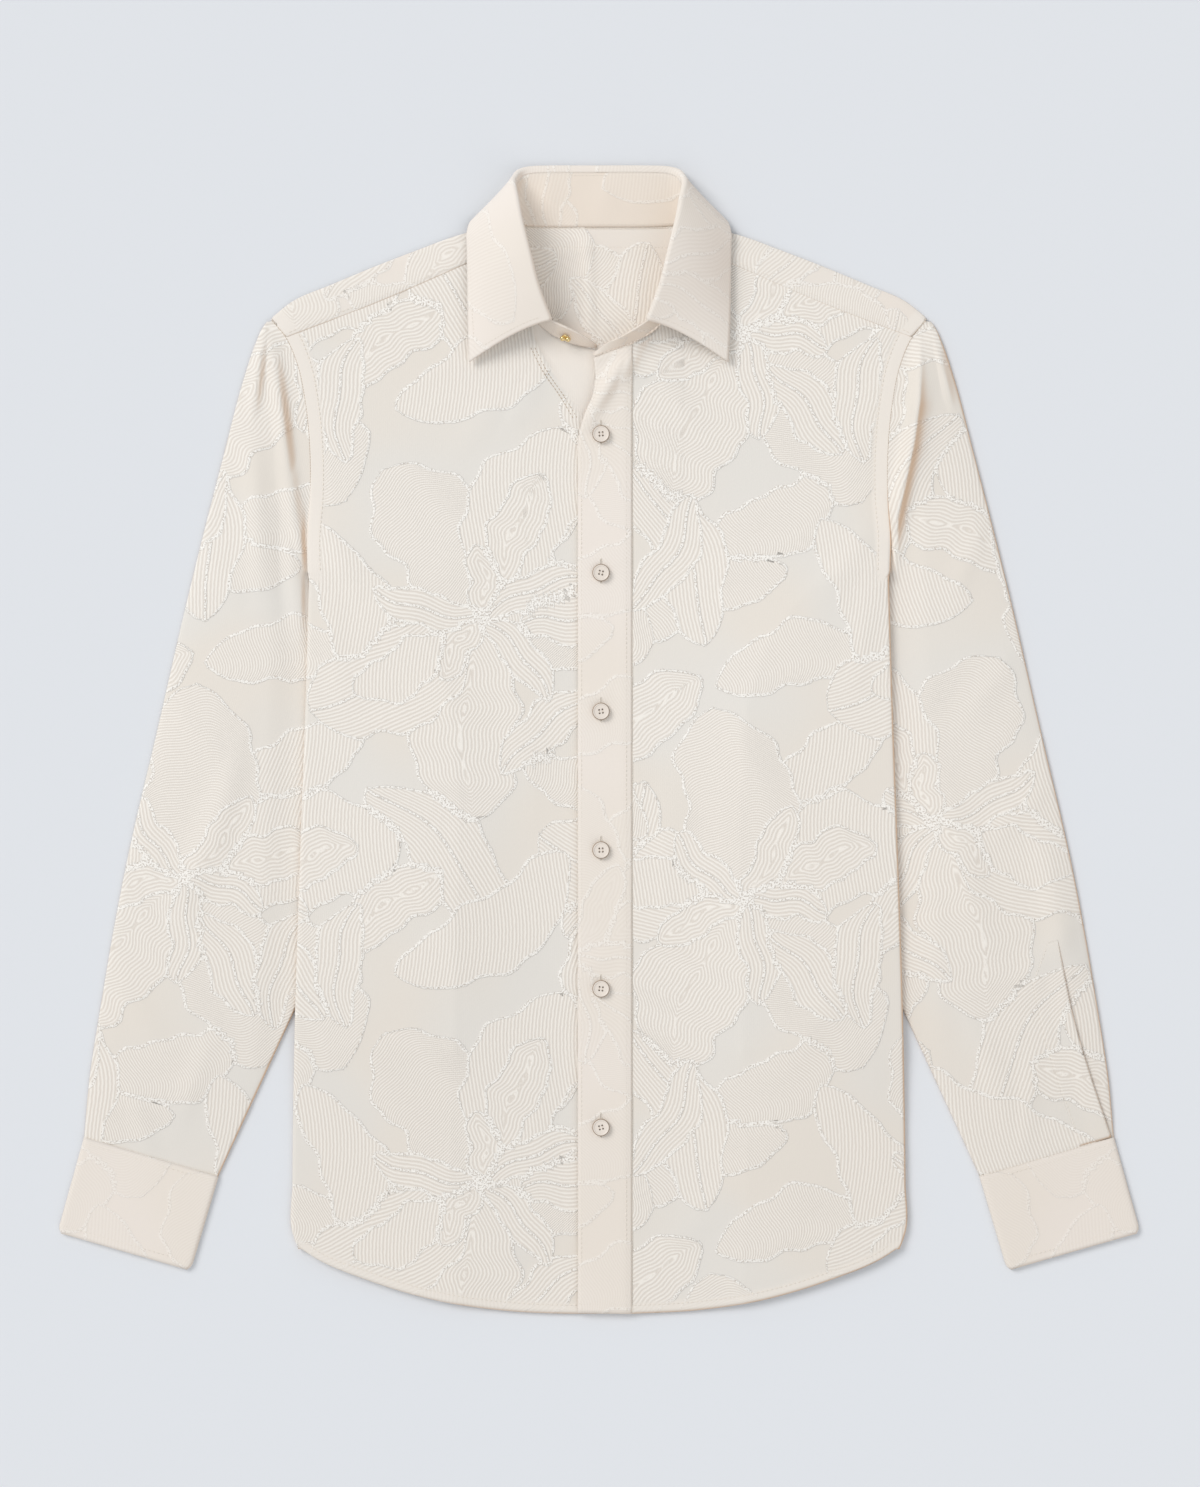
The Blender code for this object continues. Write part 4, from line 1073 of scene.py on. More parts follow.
def flat_tube(inner, outer, cells, side, upper, thickness, open_rows=0):
    across = outer - inner
    width = np.linalg.norm(across, axis=1, keepdims=True)
    bend = across / width * np.minimum(thickness * 1.3, width / 5)
    share = np.linspace(0, 1, cells + 1)[None, :, None]
    inside = (1 - share) * (inner + bend)[:, None] + share * (outer - bend)[:, None]
    near_in, near_out = (inner + 0.3 * bend)[:, None], (outer - 0.3 * bend)[:, None]
    flat = np.concatenate([inner[:, None], near_in, inside, near_out, outer[:, None]], axis=1)
    top_z = upper(flat[..., 0], flat[..., 1])
    low_z = np.full(top_z.shape, thickness / 2)
    middle = (top_z + low_z) / 2
    for z in (top_z, low_z):
        z[:, -1] = middle[:, -1]
        z[:, -2] = middle[:, -2] + (z[:, -2] - middle[:, -2]) * 0.75
        z[open_rows:, 0] = middle[open_rows:, 0]
        z[open_rows:, 1] = middle[open_rows:, 1] + (z[open_rows:, 1] - middle[open_rows:, 1]) * 0.75
    top = np.concatenate([flat, top_z[..., None]], axis=-1)
    low = np.concatenate([flat, low_z[..., None]], axis=-1)[:, -2::-1]
    ring = np.concatenate([top, low], axis=1) * (side, 1, 1)
    plan = ring[..., :2] * (side, 1)
    flat_place = np.stack([plan @ SLEEVE_CROSS, plan @ SLEEVE_AXIS], axis=-1)
    return ring, flat_place, top * (side, 1, 1)


SLEEVE_GRIDS = {}


def sleeve(side, label):
    seam = between(ARMHOLE, np.concatenate([[285.5], np.linspace(282, 277, 3), ARM_ROWS])) + (SEAM_GAP, 0)
    inner = np.vstack([seam, smooth_curve(SLEEVE_INNER)(np.linspace(0, 1, 165)[1:])])
    outer = smooth_curve([(225.6, 284.8)] + SLEEVE_OUTER[1:])(shares(inner))
    height = lambda x, y: sleeve_height(side * x, y)
    ring, flat, top = flat_tube(inner, outer, 56, side, height, CLOTH, len(seam) - 1)
    last, step = ring[-1], unit(ring[-1] - ring[-3]) * (1, 1, 0)
    into = last + 3.2 * np.median(step, axis=0)
    into[:, 2] = 1.875 + np.clip(last[:, 2] - 1.875, -0.1, 0.1)
    ring = np.concatenate([ring, (last * 0.65 + into * 0.35)[None], into[None]])
    ring[-2, :, 2] = last[:, 2] * 0.5 + into[:, 2] * 0.5
    flat = np.concatenate([flat, flat[-1:] - (0, 1), flat[-1:] - (0, 3)])
    flat = flat + SLEEVE_FLAT[side]
    SLEEVE_GRIDS[side] = top
    return cloth(f"sleeve_{label}_cloth", [(ring, flat, 0.0)], (330, 600), THIN, body_weave, f"sleeve_{label}", even=False)


def cuff(side, label):
    down = np.linspace(0, 1, 28)[:, None]
    inner, outer = [(1 - down) * a + down * b for a, b in zip(np.array(CUFF_TOP), np.array(CUFF_END))]
    round_end = 2.6 * np.clip((down - 0.9) / 0.1, 0, 1) ** 3
    along = (outer - inner) / np.linalg.norm(outer - inner, axis=1, keepdims=True)
    inner, outer = inner + along * round_end, outer - along * round_end
    level = lambda x, y: np.full(np.shape(x), DOUBLE * 1.5 + PLY_GAP) + 0.25 * np.sin(x / 17 + side) * np.sin(y / 23)
    ring, flat, top = flat_tube(inner, outer, 36, side, level, DOUBLE)
    SLEEVE_GRIDS[f"cuff {side}"] = top
    return cloth(f"cuff_{label}_cloth", [(ring, flat + (60, 150), 0.25)], (192, 68), THIN_DOUBLE, double_weave, f"cuff_{label}", even=False)


for side, label in ((-1, "left"), (1, "right")):
    sleeve(side, label)
    cuff(side, label)

# %% The strip along the right sleeve's slit
SLIT_WIDTH = 22.0
slit = smooth_curve(SLEEVE_SLIT)(np.linspace(0, 1, 60))
narrow = np.minimum(np.linspace(0, 1, 60) * 6, 1) * 0.7 + 0.3
across = np.linspace(0, 1, 14)[None, :]
inward = across * SLIT_WIDTH * narrow[:, None]
slit_plan = np.stack([slit[:, :1] - inward, slit[:, 1:] - 0.29 * inward], axis=-1)
open_up = np.clip(np.linspace(0, 1, 60) * 3.5, 0, 1)[:, None] * (1 - smooth(across / 0.7))
slit_grid = lifted(slit_plan, lambda x, y: sleeve_height(x, y) + 0.12)
slit_grid[..., 2] += (PITCH + 0.1) * open_up
slit_flat = np.stack([slit_plan @ SLEEVE_CROSS, slit_plan @ SLEEVE_AXIS], axis=-1) + SLEEVE_FLAT[1]
cloth("sleeve_placket_cloth", [(slit_grid, slit_flat, 0.0)], (23, 136), THIN, body_weave, "sleeve_placket_right")

# %% [markdown]
# ## The collar
#
# The collar is worn up even while the shirt lies flat: a stand rises from the neck seam, and the
# leaf rolls over its top edge and falls back to two points. Four lines say where it goes: the
# neck, the roll, the middle of the leaf and its outer edge.

# %% Collar lines
COLLAR = [
    # neck x, y, z, roll x, y, z, middle x, y, z, edge x, y, z
    (0, 351.5, 3.6, 0, 390.5, 2.8, 0, 367, 0.95, 0, 344, 0.9),
    (28, 351.5, 3.6, 27, 390.5, 2.8, 28, 367, 0.95, 29, 344, 0.9),
    (46, 352, 3.6, 45.5, 390.0, 3.4, 48, 369, 1.3, 51, 346.5, 0.9),
    (54.5, 353, 3.7, 53.8, 387.6, 6.4, 61, 369, 2.2, 65.5, 350, 1.1),
    (59, 354, 3.8, 57, 383, 12, 68, 368, 4.0, 76, 354.5, 1.6),
    (61, 354, 5.0, 58, 378, 19, 74, 365, 8.5, 86, 353.5, 4.0),
    (61, 349, 5.4, 56, 368, 26, 75, 358, 15, 89.5, 344, 7.4),
    (60.6, 341, 5.4, 53, 352, 30.5, 72.5, 344, 20.5, 89.3, 334, 7.6),
    (60, 328, 5.0, 47.5, 330, 32, 69, 320, 22.5, 89, 310, 7.6),
    (54, 307, 4.8, 41.5, 306.7, 28, 64, 297, 19.5, 88.8, 283, 7.4),
    (43, 285.5, 4.8, 33, 284.2, 21, 58, 275, 15, 87.9, 257, 7.2),
]
LEFT_END = [
    (32, 276.5, 4.6, 22.5, 280, 17.5),
    (19, 270.6, 4.5, 12, 275.3, 13.5),
    (7, 268.2, 4.4, 4, 270.6, 8.6),
    (1.4, 267.6, 4.4, 1.4, 268.9, 5.6),
]
RIGHT_END = [
    (30, 274.8, 7.0, 22.9, 277.9, 18),
    (15.4, 268.2, 7.4, 13.8, 273.2, 15),
    (4.2, 264.4, 7.6, 4.7, 269.3, 12),
    (-3.4, 261.0, 7.2, -3.2, 263.4, 8.8),
]
ROLL_UP, ROLL_BEND = 2.8, DOUBLE / 2 + 0.85


def by_row(points):
    """A curve that reaches each point at an even share."""
    p = np.vstack([2 * points[0] - points[1], points, 2 * points[-1] - points[-2]])

    def at(share):
        place = np.clip(np.asarray(share) * (len(points) - 1), 0, len(points) - 1 - 1e-9)
        i = place.astype(int)
        t = (place - i)[:, None]
        a, b, c, d = p[i], p[i + 1], p[i + 2], p[i + 3]
        return 0.5 * (2 * b + (c - a) * t + (2 * a - 5 * b + 4 * c - d) * t**2 + (3 * b - a - 3 * c + d) * t**3)

    return at


def collar_lines(count):
    half = np.array(COLLAR, float).reshape(len(COLLAR), 12)
    mirrored = half.reshape(-1, 4, 3) * (-1, 1, 1)
    whole = np.concatenate([mirrored.reshape(-1, 12)[:0:-1], half])
    spline = by_row(whole)(np.linspace(0, 1, count))
    return [spline[:, 3 * k : 3 * k + 3] for k in range(4)]


def roll_frame(neck, roll, middle):
    """Along the collar: the stand's top edge, its direction, and the way out from it."""
    rise = unit(roll - neck)
    out = middle - roll
    out = unit(out - (out * rise).sum(-1, keepdims=True) * rise)
    return roll - (ROLL_UP + ROLL_BEND) * rise - ROLL_BEND * out, rise, out


# %% Stand
neck_line, roll_line, middle_line, edge_line = collar_lines(260)
stand_top, rise, outwards = roll_frame(neck_line, roll_line, middle_line)
left_end = smooth_curve(np.array(LEFT_END[::-1]) * (-1, 1, 1, -1, 1, 1))(np.linspace(0, 1, 16))
right_end = smooth_curve(np.array(RIGHT_END, float))(np.linspace(0, 1, 16))
on_cloth = right_height(right_end[:, 0], right_end[:, 1]) + np.where(right_end[:, 0] < PLACKET_RIGHT, 2.1, 1.0)
print("right end of the stand, height of the cloth below it:", np.round(on_cloth, 1))
right_end[:, 2] = np.maximum(right_end[:, 2], on_cloth)
stand_neck = np.vstack([left_end[:, :3], neck_line, right_end[:, :3]])
behind = np.clip((60 - np.abs(stand_neck[:, 0])) / 10, 0, 1) * (stand_neck[:, 1] > 349)
stand_neck[:, 1] -= 2.3 * behind
stand_neck[:, 2] -= 0.7 * behind
stand_edge = np.vstack([left_end[:, 3:], stand_top, right_end[:, 3:]])
share = np.linspace(0, 1, 18)[:, None, None]
stand_grid = (1 - share) * stand_neck + share * stand_edge
flat_part = np.clip((50 - np.abs(stand_grid[..., 0])) / 8, 0, 1) * (stand_grid[..., 1] > 340)
dents = 0.9 * np.exp(-(((stand_grid[..., 0] + 34) / 6) ** 2)) + 0.8 * np.exp(-(((stand_grid[..., 0] - 4) / 8) ** 2))
stand_grid[..., 2] += flat_part * dents * np.sin(math.pi * share[..., 0])
run = np.concatenate([[0], np.cumsum(np.linalg.norm(np.diff(stand_neck, axis=0), axis=1))])
stand_flat = np.stack([np.broadcast_to(run, stand_grid.shape[:2]) + 30, share[..., 0] * 36 + np.zeros((1, len(run))) + 200], axis=-1)
cloth("collar_stand_cloth", [(stand_grid, stand_flat, 0.15)], (369, 37), THIN_DOUBLE, stand_weave_painted_shade, "collar_stand")

# %% Leaf
rows = [stand_top - 0.1 * rise, stand_top + 1.0 * rise, stand_top + ROLL_UP * rise]
roll_centre = rows[-1] + ROLL_BEND * outwards
for angle in (25, 50, 75, 100, 120, 140):
    a = math.radians(angle)
    rows.append(roll_centre + ROLL_BEND * (math.sin(a) * rise - math.cos(a) * outwards))
leaf_start = rows[-1]
for s in np.linspace(0, 1, 30)[1:]:
    bow = 4 * s * (1 - s) * (middle_line - (leaf_start + edge_line) / 2)
    rows.append(leaf_start + s * (edge_line - leaf_start) + bow)
leaf_grid = np.stack(rows)
leaf_run = np.concatenate([np.zeros((1, 260)), np.cumsum(np.linalg.norm(np.diff(leaf_grid, axis=0), axis=2), axis=0)])
print("leaf across, mm:", np.round(leaf_run[-1, ::20], 1), "stand across:", np.round(np.linalg.norm(stand_edge - stand_neck, axis=1)[::20], 1), "stand along:", round(float(run[-1])))
along_roll = np.concatenate([[0], np.cumsum(np.linalg.norm(np.diff(middle_line, axis=0), axis=1))])
leaf_flat = np.stack([np.broadcast_to(along_roll, leaf_run.shape) + 205, leaf_run + 196], axis=-1)
print("leaf's cut along its fold:", round(along_roll[-1]), "mm")
cloth("collar_leaf_cloth", [(leaf_grid, leaf_flat, 0.2)], (round(along_roll[-1]), 69), THIN_DOUBLE, double_weave, "collar_leaf")

# %% [markdown]
# ## Buttons
#
# Shirt buttons are turned from shell: a raised rim, a shallow dish and four holes. The profile is
# turned with a Screw modifier and the holes are cut with a Boolean, which is how a real one is
# made: turned first and drilled after. Two short strands of thread pass through the holes.

# %% Button and stud materials
def finish(name, hex_colour, roughness, metallic=0.0, vary=0.0, scale=300.0):
    """A smooth finish whose tone drifts a little between two shades."""
    material = bpy.data.materials.new(name)
    material.use_nodes = True
    tree = material.node_tree
    shader = tree.nodes["Principled BSDF"]
    place = node(tree, "ShaderNodeTexCoord").outputs["Object"]
    cloud = node(tree, "ShaderNodeTexNoise", {"Vector": place, "Scale": scale, "Detail": 3.0}).outputs[0]
    dark = [c * (1 - vary) for c in linear(hex_colour)[:3]] + [1]
    tree.links.new(tint(tree, cloud, dark, linear(hex_colour)), shader.inputs["Base Color"])
    shader.inputs["Roughness"].default_value = roughness
    shader.inputs["Metallic"].default_value = metallic
    return material


shell = finish("turned_shell", "#efe6dc", 0.34, vary=0.08, scale=420)
# The rim's outer flank gets its own darker finish: painted shade for the dark line round each button's edge
rim_painted_shade = finish("turned_rim_painted_shade", "#a89686", 0.5, vary=0.15, scale=420)
thread = finish("cotton_thread", "#f3ece1", 0.8, vary=0.15, scale=1500)
# Thread down the holes is coloured dark: painted shade for the depth of the holes
thread_with_painted_hole_shade = finish("button_thread_in_shade", "#85766a", 0.9, vary=0.2, scale=1500)
# A darker thread: real stitches on the left front's facing, and a continuous cord along each armhole that is painted
# shade for the dark line at that seam
seam_thread_and_seam_shade = finish("seam_thread_and_seam_shade", "#cbbcaa", 0.85, vary=0.1, scale=1500)
shell_thread = finish("button_thread", "#dccfc1", 0.85, vary=0.1, scale=1500)
gold = finish("gold_plate", "#ecd49c", 0.28, 1.0, 0.1, 500)

# %% Turned pieces
def turned(name, profile, material, steps):
    """A round piece from a profile that runs from its top's middle down to its foot."""
    mesh = bpy.data.meshes.new(name)
    mesh.from_pydata([(r * MM, 0, z * MM) for r, z in profile], [(i, i + 1) for i in range(len(profile) - 1)], [])
    mesh.materials.append(material)
    obj = bpy.data.objects.new(name, mesh)
    bpy.context.scene.collection.objects.link(obj)
    screw = obj.modifiers.new("turn", "SCREW")
    screw.steps = screw.render_steps = steps
    screw.use_merge_vertices, screw.merge_threshold, screw.use_normal_calculate = True, 0.00001, True
    settle(obj)
    return obj


def move_mesh(obj, matrix):
    """Places an object by its mesh, so that the object itself stays at the origin."""
    obj.data.transform(matrix)
    return obj


HOLE = 1.12  # from the middle of a button to its holes, each way
BUTTON_HOLES = [(-HOLE, -HOLE), (HOLE, -HOLE), (-HOLE, HOLE), (HOLE, HOLE)]


def make_button(name):
    r, t = BUTTON_RADIUS, BUTTON_THICK
    dish = t - 0.7
    profile = [
        (0, dish), (r - BUTTON_RIM - 1.4, dish), (r - BUTTON_RIM - 0.5, dish + 0.15), (r - BUTTON_RIM - 0.1, t - 0.1),
        (r - BUTTON_RIM + 0.25, t), (r - 0.8, t), (r - 0.62, t - 0.1), (r, t - 1.1), (r - 0.3, 0.55), (r - 1.3, 0), (0, 0),
    ]
    button = turned(name, profile, shell, 40)
    drills = bpy.data.meshes.new("drills")
    bm = bmesh.new()
    for x, y in BUTTON_HOLES:
        place = Matrix.Translation(Vector((x, y, 1.2)) * MM)
        bmesh.ops.create_cone(bm, cap_ends=True, segments=14, radius1=0.64 * MM, radius2=0.64 * MM, depth=5 * MM, matrix=place)
    bm.to_mesh(drills)
    bm.free()
    cutter = bpy.data.objects.new("drills", drills)
    bpy.context.scene.collection.objects.link(cutter)
    cut = button.modifiers.new("holes", "BOOLEAN")
    cut.operation, cut.object = "DIFFERENCE", cutter
    settle(button)
    bpy.data.objects.remove(cutter)
    # Faces on the rim's outer flank take the painted rim shade
    button.data.materials.append(rim_painted_shade)
    for face in button.data.polygons:
        if face.center.xy.length > (r - 0.6) * MM:
            face.material_index = 1
    button.data.shade_smooth()
    button.data.set_sharp_from_angle(angle=math.radians(35))
    return button


def make_thread(name):
    """What shows of the thread: an end down each hole, coloured dark as painted shade for the hole's depth, and two
    thin bridges between them.
    """
    mesh = bpy.data.meshes.new(name)
    bm = bmesh.new()
    for x, y in BUTTON_HOLES:
        place = Matrix.Translation(Vector((x, y, 0.8)) * MM)
        bmesh.ops.create_cone(bm, cap_ends=True, segments=10, radius1=0.6 * MM, radius2=0.5 * MM, depth=0.7 * MM, matrix=place)
    for face in bm.faces:
        face.material_index = 1
    for x in (-HOLE, HOLE):
        place = Matrix.Translation(Vector((x, 0, BUTTON_THICK - 0.62)) * MM) @ Matrix.Rotation(math.pi / 2, 4, "X")
        made = bmesh.ops.create_cone(bm, cap_ends=True, segments=8, radius1=0.2 * MM, radius2=0.2 * MM, depth=1.9 * MM, matrix=place)
        for vertex in made["verts"]:
            for face in vertex.link_faces:
                face.material_index = 0
    bm.to_mesh(mesh)
    bm.free()
    mesh.materials.append(shell_thread)
    mesh.materials.append(thread_with_painted_hole_shade)
    obj = bpy.data.objects.new(name, mesh)
    bpy.context.scene.collection.objects.link(obj)
    return obj


BUTTON_TURNS = (4, -12, 9, 2, -7, 14)
for i, turn in enumerate(BUTTON_TURNS):
    low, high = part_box(f"button_{i + 1}")
    place = Matrix.Translation(((low[0] + high[0]) / 2, (low[1] + high[1]) / 2, low[2])) @ Matrix.Rotation(math.radians(turn), 4, "Z")
    button = move_mesh(make_button(f"button_{i + 1}_turned"), place)
    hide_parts(f"button_{i + 1}")
    strands = move_mesh(make_thread(f"button_{i + 1}_thread"), place)
    for piece, slot in ((button, "shell_button"), (strands, "jacquard_double")):
        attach(piece, "root")
print("buttons:", len(BUTTON_TURNS), "with", len(button.data.polygons), "faces each")

# %% [markdown]
# ## The collar stud
#
# The left end of the stand carries one small gold fastener: two bright beads and a small one on a
# round foot. Each is turned like the buttons. It stands on the stand's outer face.

# %% Stud
def bead(radius, x, z):
    profile = [(radius * math.sin(a), z + radius * math.cos(a)) for a in np.linspace(0, math.pi, 12)]
    return move_mesh(turned("bead", profile, gold, 24), Matrix.Translation(Vector((x, 0, 0)) * MM))


r = STUD_RADIUS
base = turned("collar_stud_gold", [(0, 0.9), (0.5 * r, 0.9), (0.62 * r, 0.7), (0.66 * r, 0.35), (0.6 * r, 0), (0, 0)], gold, 32)
beads = [bead(0.44 * r, -0.5 * r, 1.5), bead(0.44 * r, 0.5 * r, 1.5), bead(0.22 * r, 0, 2.0)]
with bpy.context.temp_override(active_object=base, selected_editable_objects=[base, *beads]):
    bpy.ops.object.join()
stud = base
tilt = Vector((0, 0, 1)).rotation_difference(Vector(STUD_NORMAL).normalized())
move_mesh(stud, Matrix.Translation(Vector(STUD_PLACE) * MM) @ tilt.to_matrix().to_4x4())
stud.data.shade_smooth()
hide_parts("collar_stud")
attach(stud, "root")

# %% [markdown]
# ## Stitches
#
# Every seam and turned edge shows a row of small stitches. Geometry Nodes lay them: the line is
# cut into even steps, a small spindle is set on each step and turned along the line. The thread's
# thickness, the stitch's length and the gap are inputs, so one tree sews every seam.

# %% Stitch tree
def stitch_tree():
    tree = bpy.data.node_groups.new("stitches", "GeometryNodeTree")
    face = tree.interface
    face.new_socket("Line", in_out="INPUT", socket_type="NodeSocketGeometry")
    for label, value in (("Stitch length", 0.0023), ("Gap", 0.0009), ("Thread", 0.00034)):
        face.new_socket(label, in_out="INPUT", socket_type="NodeSocketFloat").default_value = value
    face.new_socket("Finish", in_out="INPUT", socket_type="NodeSocketMaterial")
    face.new_socket("Stitches", in_out="OUTPUT", socket_type="NodeSocketGeometry")
    given = node(tree, "NodeGroupInput").outputs
    step = maths(tree, "ADD", given["Stitch length"], given["Gap"])
    points = node(tree, "GeometryNodeCurveToPoints", {"Curve": given["Line"], "Length": step}, mode="LENGTH")
    facing = node(tree, "FunctionNodeAlignRotationToVector", {"Vector": points.outputs["Tangent"]}, axis="X")
    ball = node(tree, "GeometryNodeMeshUVSphere", {"Segments": 6, "Rings": 4, "Radius": 1.0})
    half = maths(tree, "MULTIPLY", given["Stitch length"], 0.5)
    size = node(tree, "ShaderNodeCombineXYZ", {0: half, 1: given["Thread"], 2: given["Thread"]})
    placed = node(
        tree, "GeometryNodeInstanceOnPoints",
        {"Points": points.outputs["Points"], "Instance": ball.outputs["Mesh"], "Rotation": facing.outputs[0], "Scale": size.outputs[0]},
    )
    real = node(tree, "GeometryNodeRealizeInstances", {0: placed.outputs[0]})
    smooth = node(tree, "GeometryNodeSetShadeSmooth", {"Geometry": real.outputs[0]})
    dressed_up = node(tree, "GeometryNodeSetMaterial", {"Geometry": smooth.outputs[0], "Material": given["Finish"]})
    node(tree, "NodeGroupOutput", {0: dressed_up.outputs[0]})
    return tree


STITCHES = stitch_tree()


def sew(name, lines, length=2.3, gap=0.9, radius=0.34, finish_with=thread, slot="jacquard"):
    """Sews along each line of points in mm, and returns the row of stitches as a plain mesh."""
    curve = bpy.data.curves.new(name, "CURVE")
    curve.dimensions = "3D"
    for points in lines:
        line = curve.splines.new("POLY")
        line.points.add(len(points) - 1)
        line.points.foreach_set("co", np.column_stack([np.array(points) * MM, np.ones(len(points))]).astype(np.float32).ravel())
    path = bpy.data.objects.new(name + "_path", curve)
    bpy.context.scene.collection.objects.link(path)
    holder = path.modifiers.new("stitches", "NODES")
    holder.node_group = STITCHES
    sockets = {item.name: item.identifier for item in STITCHES.interface.items_tree if item.in_out == "INPUT"}
    for label, value in (("Stitch length", length * MM), ("Gap", gap * MM), ("Thread", radius * MM), ("Finish", finish_with)):
        holder[sockets[label]] = value
    graph = bpy.context.evaluated_depsgraph_get()
    mesh = bpy.data.meshes.new_from_object(path.evaluated_get(graph), depsgraph=graph)
    bpy.data.objects.remove(path)
    row = bpy.data.objects.new(name, mesh)
    bpy.context.scene.collection.objects.link(row)
    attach(row, "root")
    print(f"{name}: {len(mesh.polygons)} faces")
    return row


# %% Where the stitches go
def on_plan(line, height, lift, side=1):
    """Plan points (out, up) as points on a ply's upper face."""
    points = lifted(np.array(line, float), height, side)
    points[:, 2] += lift
    return points


def on_grid(grid, row, column, lift, upwards=True):
    """Points of a grid at fractional rows and columns, moved out from its face."""
    row, column = np.broadcast_arrays(np.asarray(row, float), np.asarray(column, float))
    i, j = np.minimum(row.astype(int), grid.shape[0] - 2), np.minimum(column.astype(int), grid.shape[1] - 2)
    u, v = (row - i)[:, None], (column - j)[:, None]
    a, b, c, d = grid[i, j], grid[i, j + 1], grid[i + 1, j], grid[i + 1, j + 1]
    normal = unit(np.cross(b - a, c - a))
    if upwards:
        normal = normal * np.sign(normal[:, 2:])
    return a * (1 - u) * (1 - v) + b * (1 - u) * v + c * u * (1 - v) + d * u * v + normal * lift


TOP = THIN / 2 + 0.05
TOP_DOUBLE = THIN_DOUBLE / 2 + 0.05


def beside_armhole(distance, side):
    line = smooth_curve(ARMHOLE)(np.linspace(0.02, 0.985, 150))
    way = unit(np.gradient(line, axis=0))
    inward = np.stack([-way[:, 1], way[:, 0]], axis=-1)
    return line + inward * distance


def band_height(side):
    base = front_height("left" if side < 0 else "right")
    return lambda x, y: base(x, y) + bands(x, y)[1]


for side, label in ((-1, "left"), (1, "right")):
    arm = beside_armhole(BAND - 1.6, side)
    arm = arm[arm[:, 1] < 276]
    hem_line = smooth_curve([(203, -343)] + HEM[1:])(np.linspace(0.0, 0.93 if side > 0 else 0.97, 150)) + (0, HEM_BAND - 1.2)
    sew(f"front_{label}_stitches", [on_plan(arm, band_height(side), TOP, side), on_plan(hem_line, band_height(side), TOP, side)])
    # A continuous cord of the darker seam thread along the armhole seam: painted shade for the fine dark line there
    seam_line = beside_armhole(-0.7, side)
    seam_height = lambda x, y: np.full(np.shape(x), CLOTH / 2 + PITCH)
    sew(f"armhole_{label}_seam", [on_plan(seam_line, seam_height, TOP + 0.1, side)], 2.4, -0.5, 0.3, seam_thread_and_seam_shade)
    flap = YOKE_FLAPS[side]
    sew(f"yoke_{label}_stitches", [on_grid(flap, 10.3, np.linspace(2, 77, 160), TOP)])

placket_rows = np.linspace(2, placket_grid.shape[0] - 2, 300)
sew("placket_stitches", [on_grid(placket_grid, placket_rows, 24 - 1.6, TOP_DOUBLE), on_grid(placket_grid, placket_rows, 2.6, TOP_DOUBLE)], slot="jacquard_double")
hem_cross = on_grid(placket_grid, placket_grid.shape[0] - 3.2, np.linspace(1, 23, 16), TOP_DOUBLE)
sew("placket_hem_stitches", [hem_cross], slot="jacquard_double")

for side, label in ((-1, "left"), (1, "right")):
    top_face = SLEEVE_GRIDS[f"cuff {side}"]
    last_row, last_column = top_face.shape[0] - 1, top_face.shape[1] - 1
    columns = np.linspace(3, last_column - 3, 80)
    foot = on_grid(top_face, last_row - 2.2, columns, TOP_DOUBLE)
    head = on_grid(top_face, 1.6, columns, TOP_DOUBLE)
    sew(f"cuff_{label}_stitches", [foot, head], slot="jacquard_double")

# %% Stitches on the collar
leaf_rows, leaf_cols = leaf_grid.shape[0] - 1, leaf_grid.shape[1] - 1
fine_thread = dict(length=1.7, gap=0.8, radius=0.24, slot="jacquard_double")


def outer_face(grid, row, column, lift, towards):
    """Points of a grid, moved off it to the side that faces towards."""
    points, raised = on_grid(grid, row, column, 0, False), on_grid(grid, row, column, 1.0, False)
    normal = raised - points
    flip = np.sign((normal * towards).sum(-1, keepdims=True))
    return points + normal * flip * lift


away_from_neck = np.array([0.0, 0.0, 1.0])
edge_columns = np.linspace(3.5, leaf_cols - 3.5, 420)
bottom_row = outer_face(leaf_grid, leaf_rows - 1.9, edge_columns, TOP_DOUBLE, away_from_neck)
end_rows = np.linspace(12, leaf_rows - 2.5, 40)
ends = [outer_face(leaf_grid, end_rows, column, TOP_DOUBLE, away_from_neck) for column in (2.2, leaf_cols - 2.2)]
sew("collar_leaf_stitches", [bottom_row[bottom_row[:, 1] < 335], *ends], **fine_thread)
stand_rows, stand_cols = stand_grid.shape[0] - 1, stand_grid.shape[1] - 1
inner_columns = np.linspace(78, stand_cols - 78, 260)
seam_rows = [outer_face(stand_grid, at, inner_columns, TOP_DOUBLE, away_from_neck) for at in (stand_rows - 0.9, 1.0)]
sew("collar_stand_stitches", seam_rows, **fine_thread)
neck_x = np.linspace(-57, 57, 80)
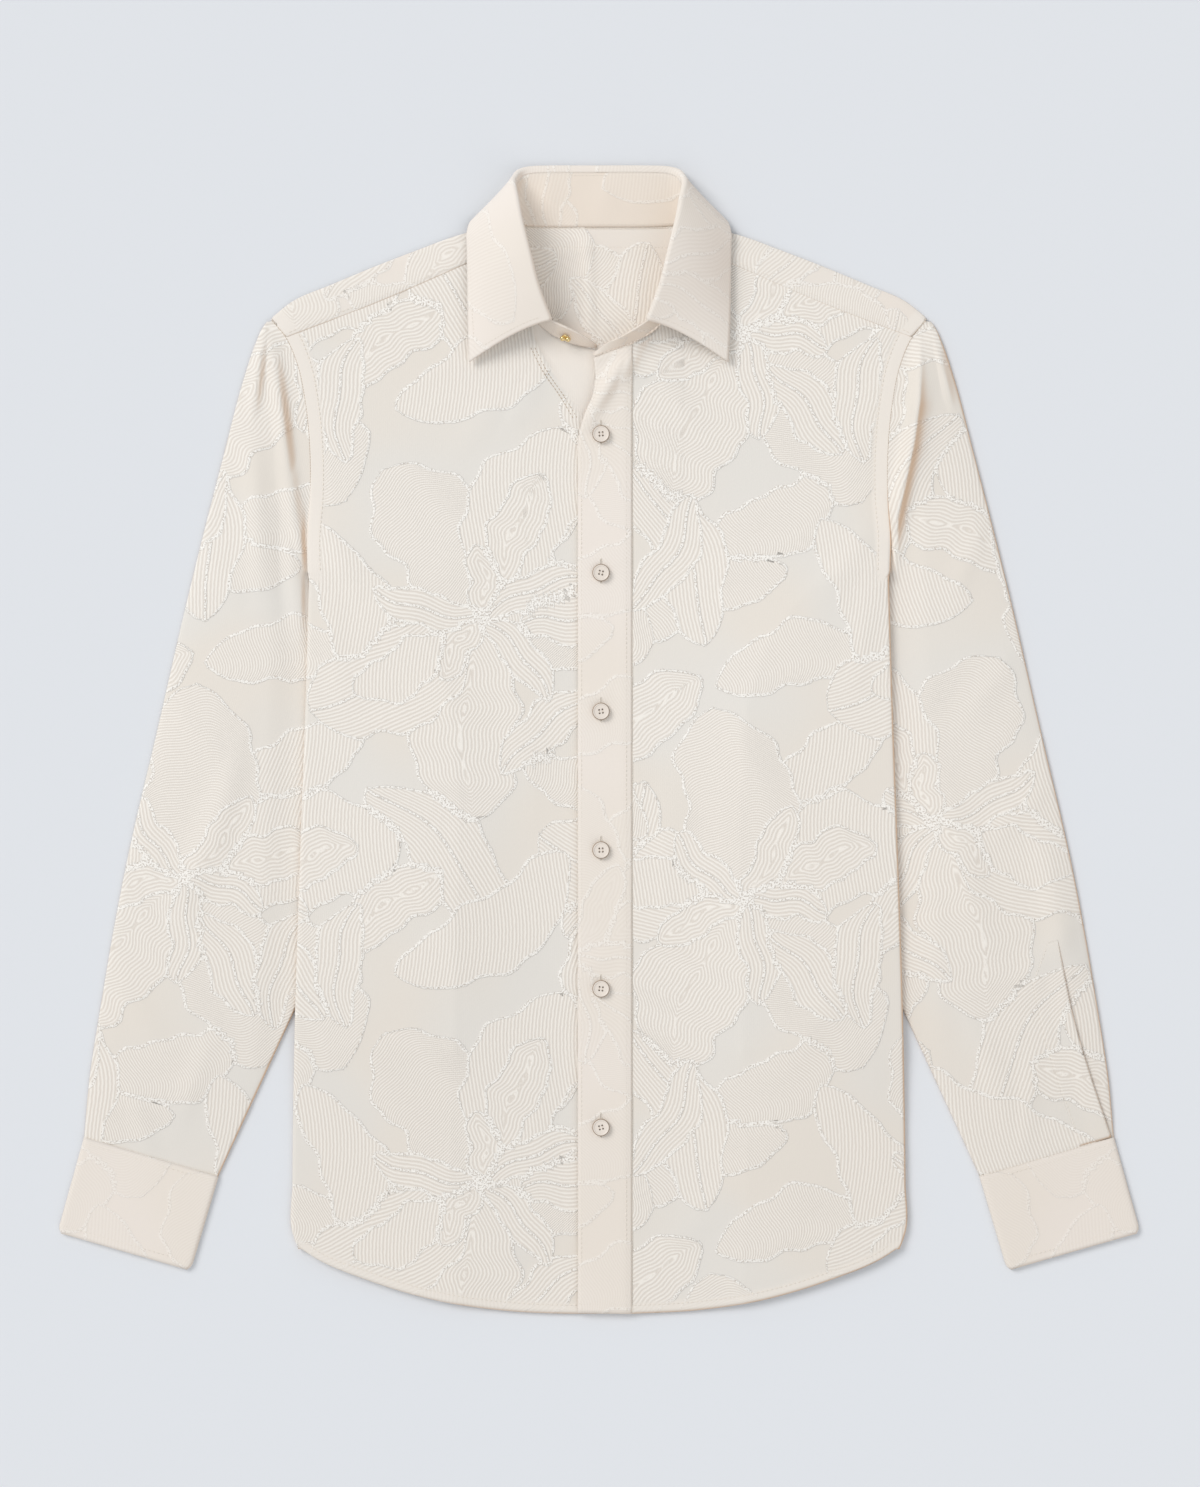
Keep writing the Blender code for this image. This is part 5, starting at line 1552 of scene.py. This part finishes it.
neck_seam = np.stack([neck_x, np.interp(neck_x, stand_neck[90:190, 0], stand_neck[90:190, 1]) - 0.95], axis=-1)
sew("neck_seam", [on_plan(neck_seam, on_floor, TOP + 0.1)], 2.4, -0.6, 0.36)
placket_foot = np.stack([np.full(300, PLACKET_RIGHT + 0.3), np.linspace(262, -387, 300)], axis=-1)
sew("placket_seam", [on_plan(placket_foot, band_height(1), TOP + 0.1)], 2.4, -0.8, 0.42)

# %% Stitches on the left front's facing and the sleeve's slit
facing = smooth_curve(FACING_EDGE[1:-1])(np.linspace(0, 1, 40))
facing_lines = [on_plan(facing + (-shift, 0), band_height(-1), TOP + 0.22) for shift in (2.4, 5.2)]
sew("front_facing_stitches", facing_lines, length=1.9, gap=0.5, radius=0.34, finish_with=seam_thread_and_seam_shade)
slit_last = slit_grid.shape[1] - 1
rows_down = np.linspace(2, slit_grid.shape[0] - 3, 60)
slit_lines = [on_grid(slit_grid, rows_down, column, TOP) for column in (0.8, slit_last - 0.8)]
sew("sleeve_slit_stitches", slit_lines, length=2.0, gap=0.9, radius=0.28)

# %% Buttonholes
hole_shadow = finish("buttonhole_shadow", "#8f8072", 0.9, vary=0.2, scale=1500)


def oblong(x, y, half_width, half_length, lift):
    turn = np.linspace(0, 2 * math.pi, 33)
    ring = np.stack([x + half_width * np.cos(turn), y + half_length * np.sign(np.sin(turn)) * np.abs(np.sin(turn)) ** 0.6], axis=-1)
    return lifted(ring, lambda a, b: on_front(a, b) + TOP_DOUBLE + lift)


rings, slits = [], []
for i in range(BUTTON_COUNT):
    y = BUTTON_TOP_Y - i * BUTTON_PITCH
    rings.append(oblong(BUTTON_X, y + 0.2, 0.85, 8.6, 0.0))
    slit_y = np.linspace(y - 8.0, y + 8.4, 12)
    slits.append(lifted(np.stack([np.full(12, BUTTON_X), slit_y], axis=-1), lambda a, b: on_front(a, b) + TOP_DOUBLE - 0.02))
sew("buttonholes", rings, length=0.9, gap=-0.3, radius=0.42, slot="jacquard_double")
sew("buttonhole_slits", slits, length=1.6, gap=-0.6, radius=0.3, finish_with=hole_shadow, slot="jacquard_double")
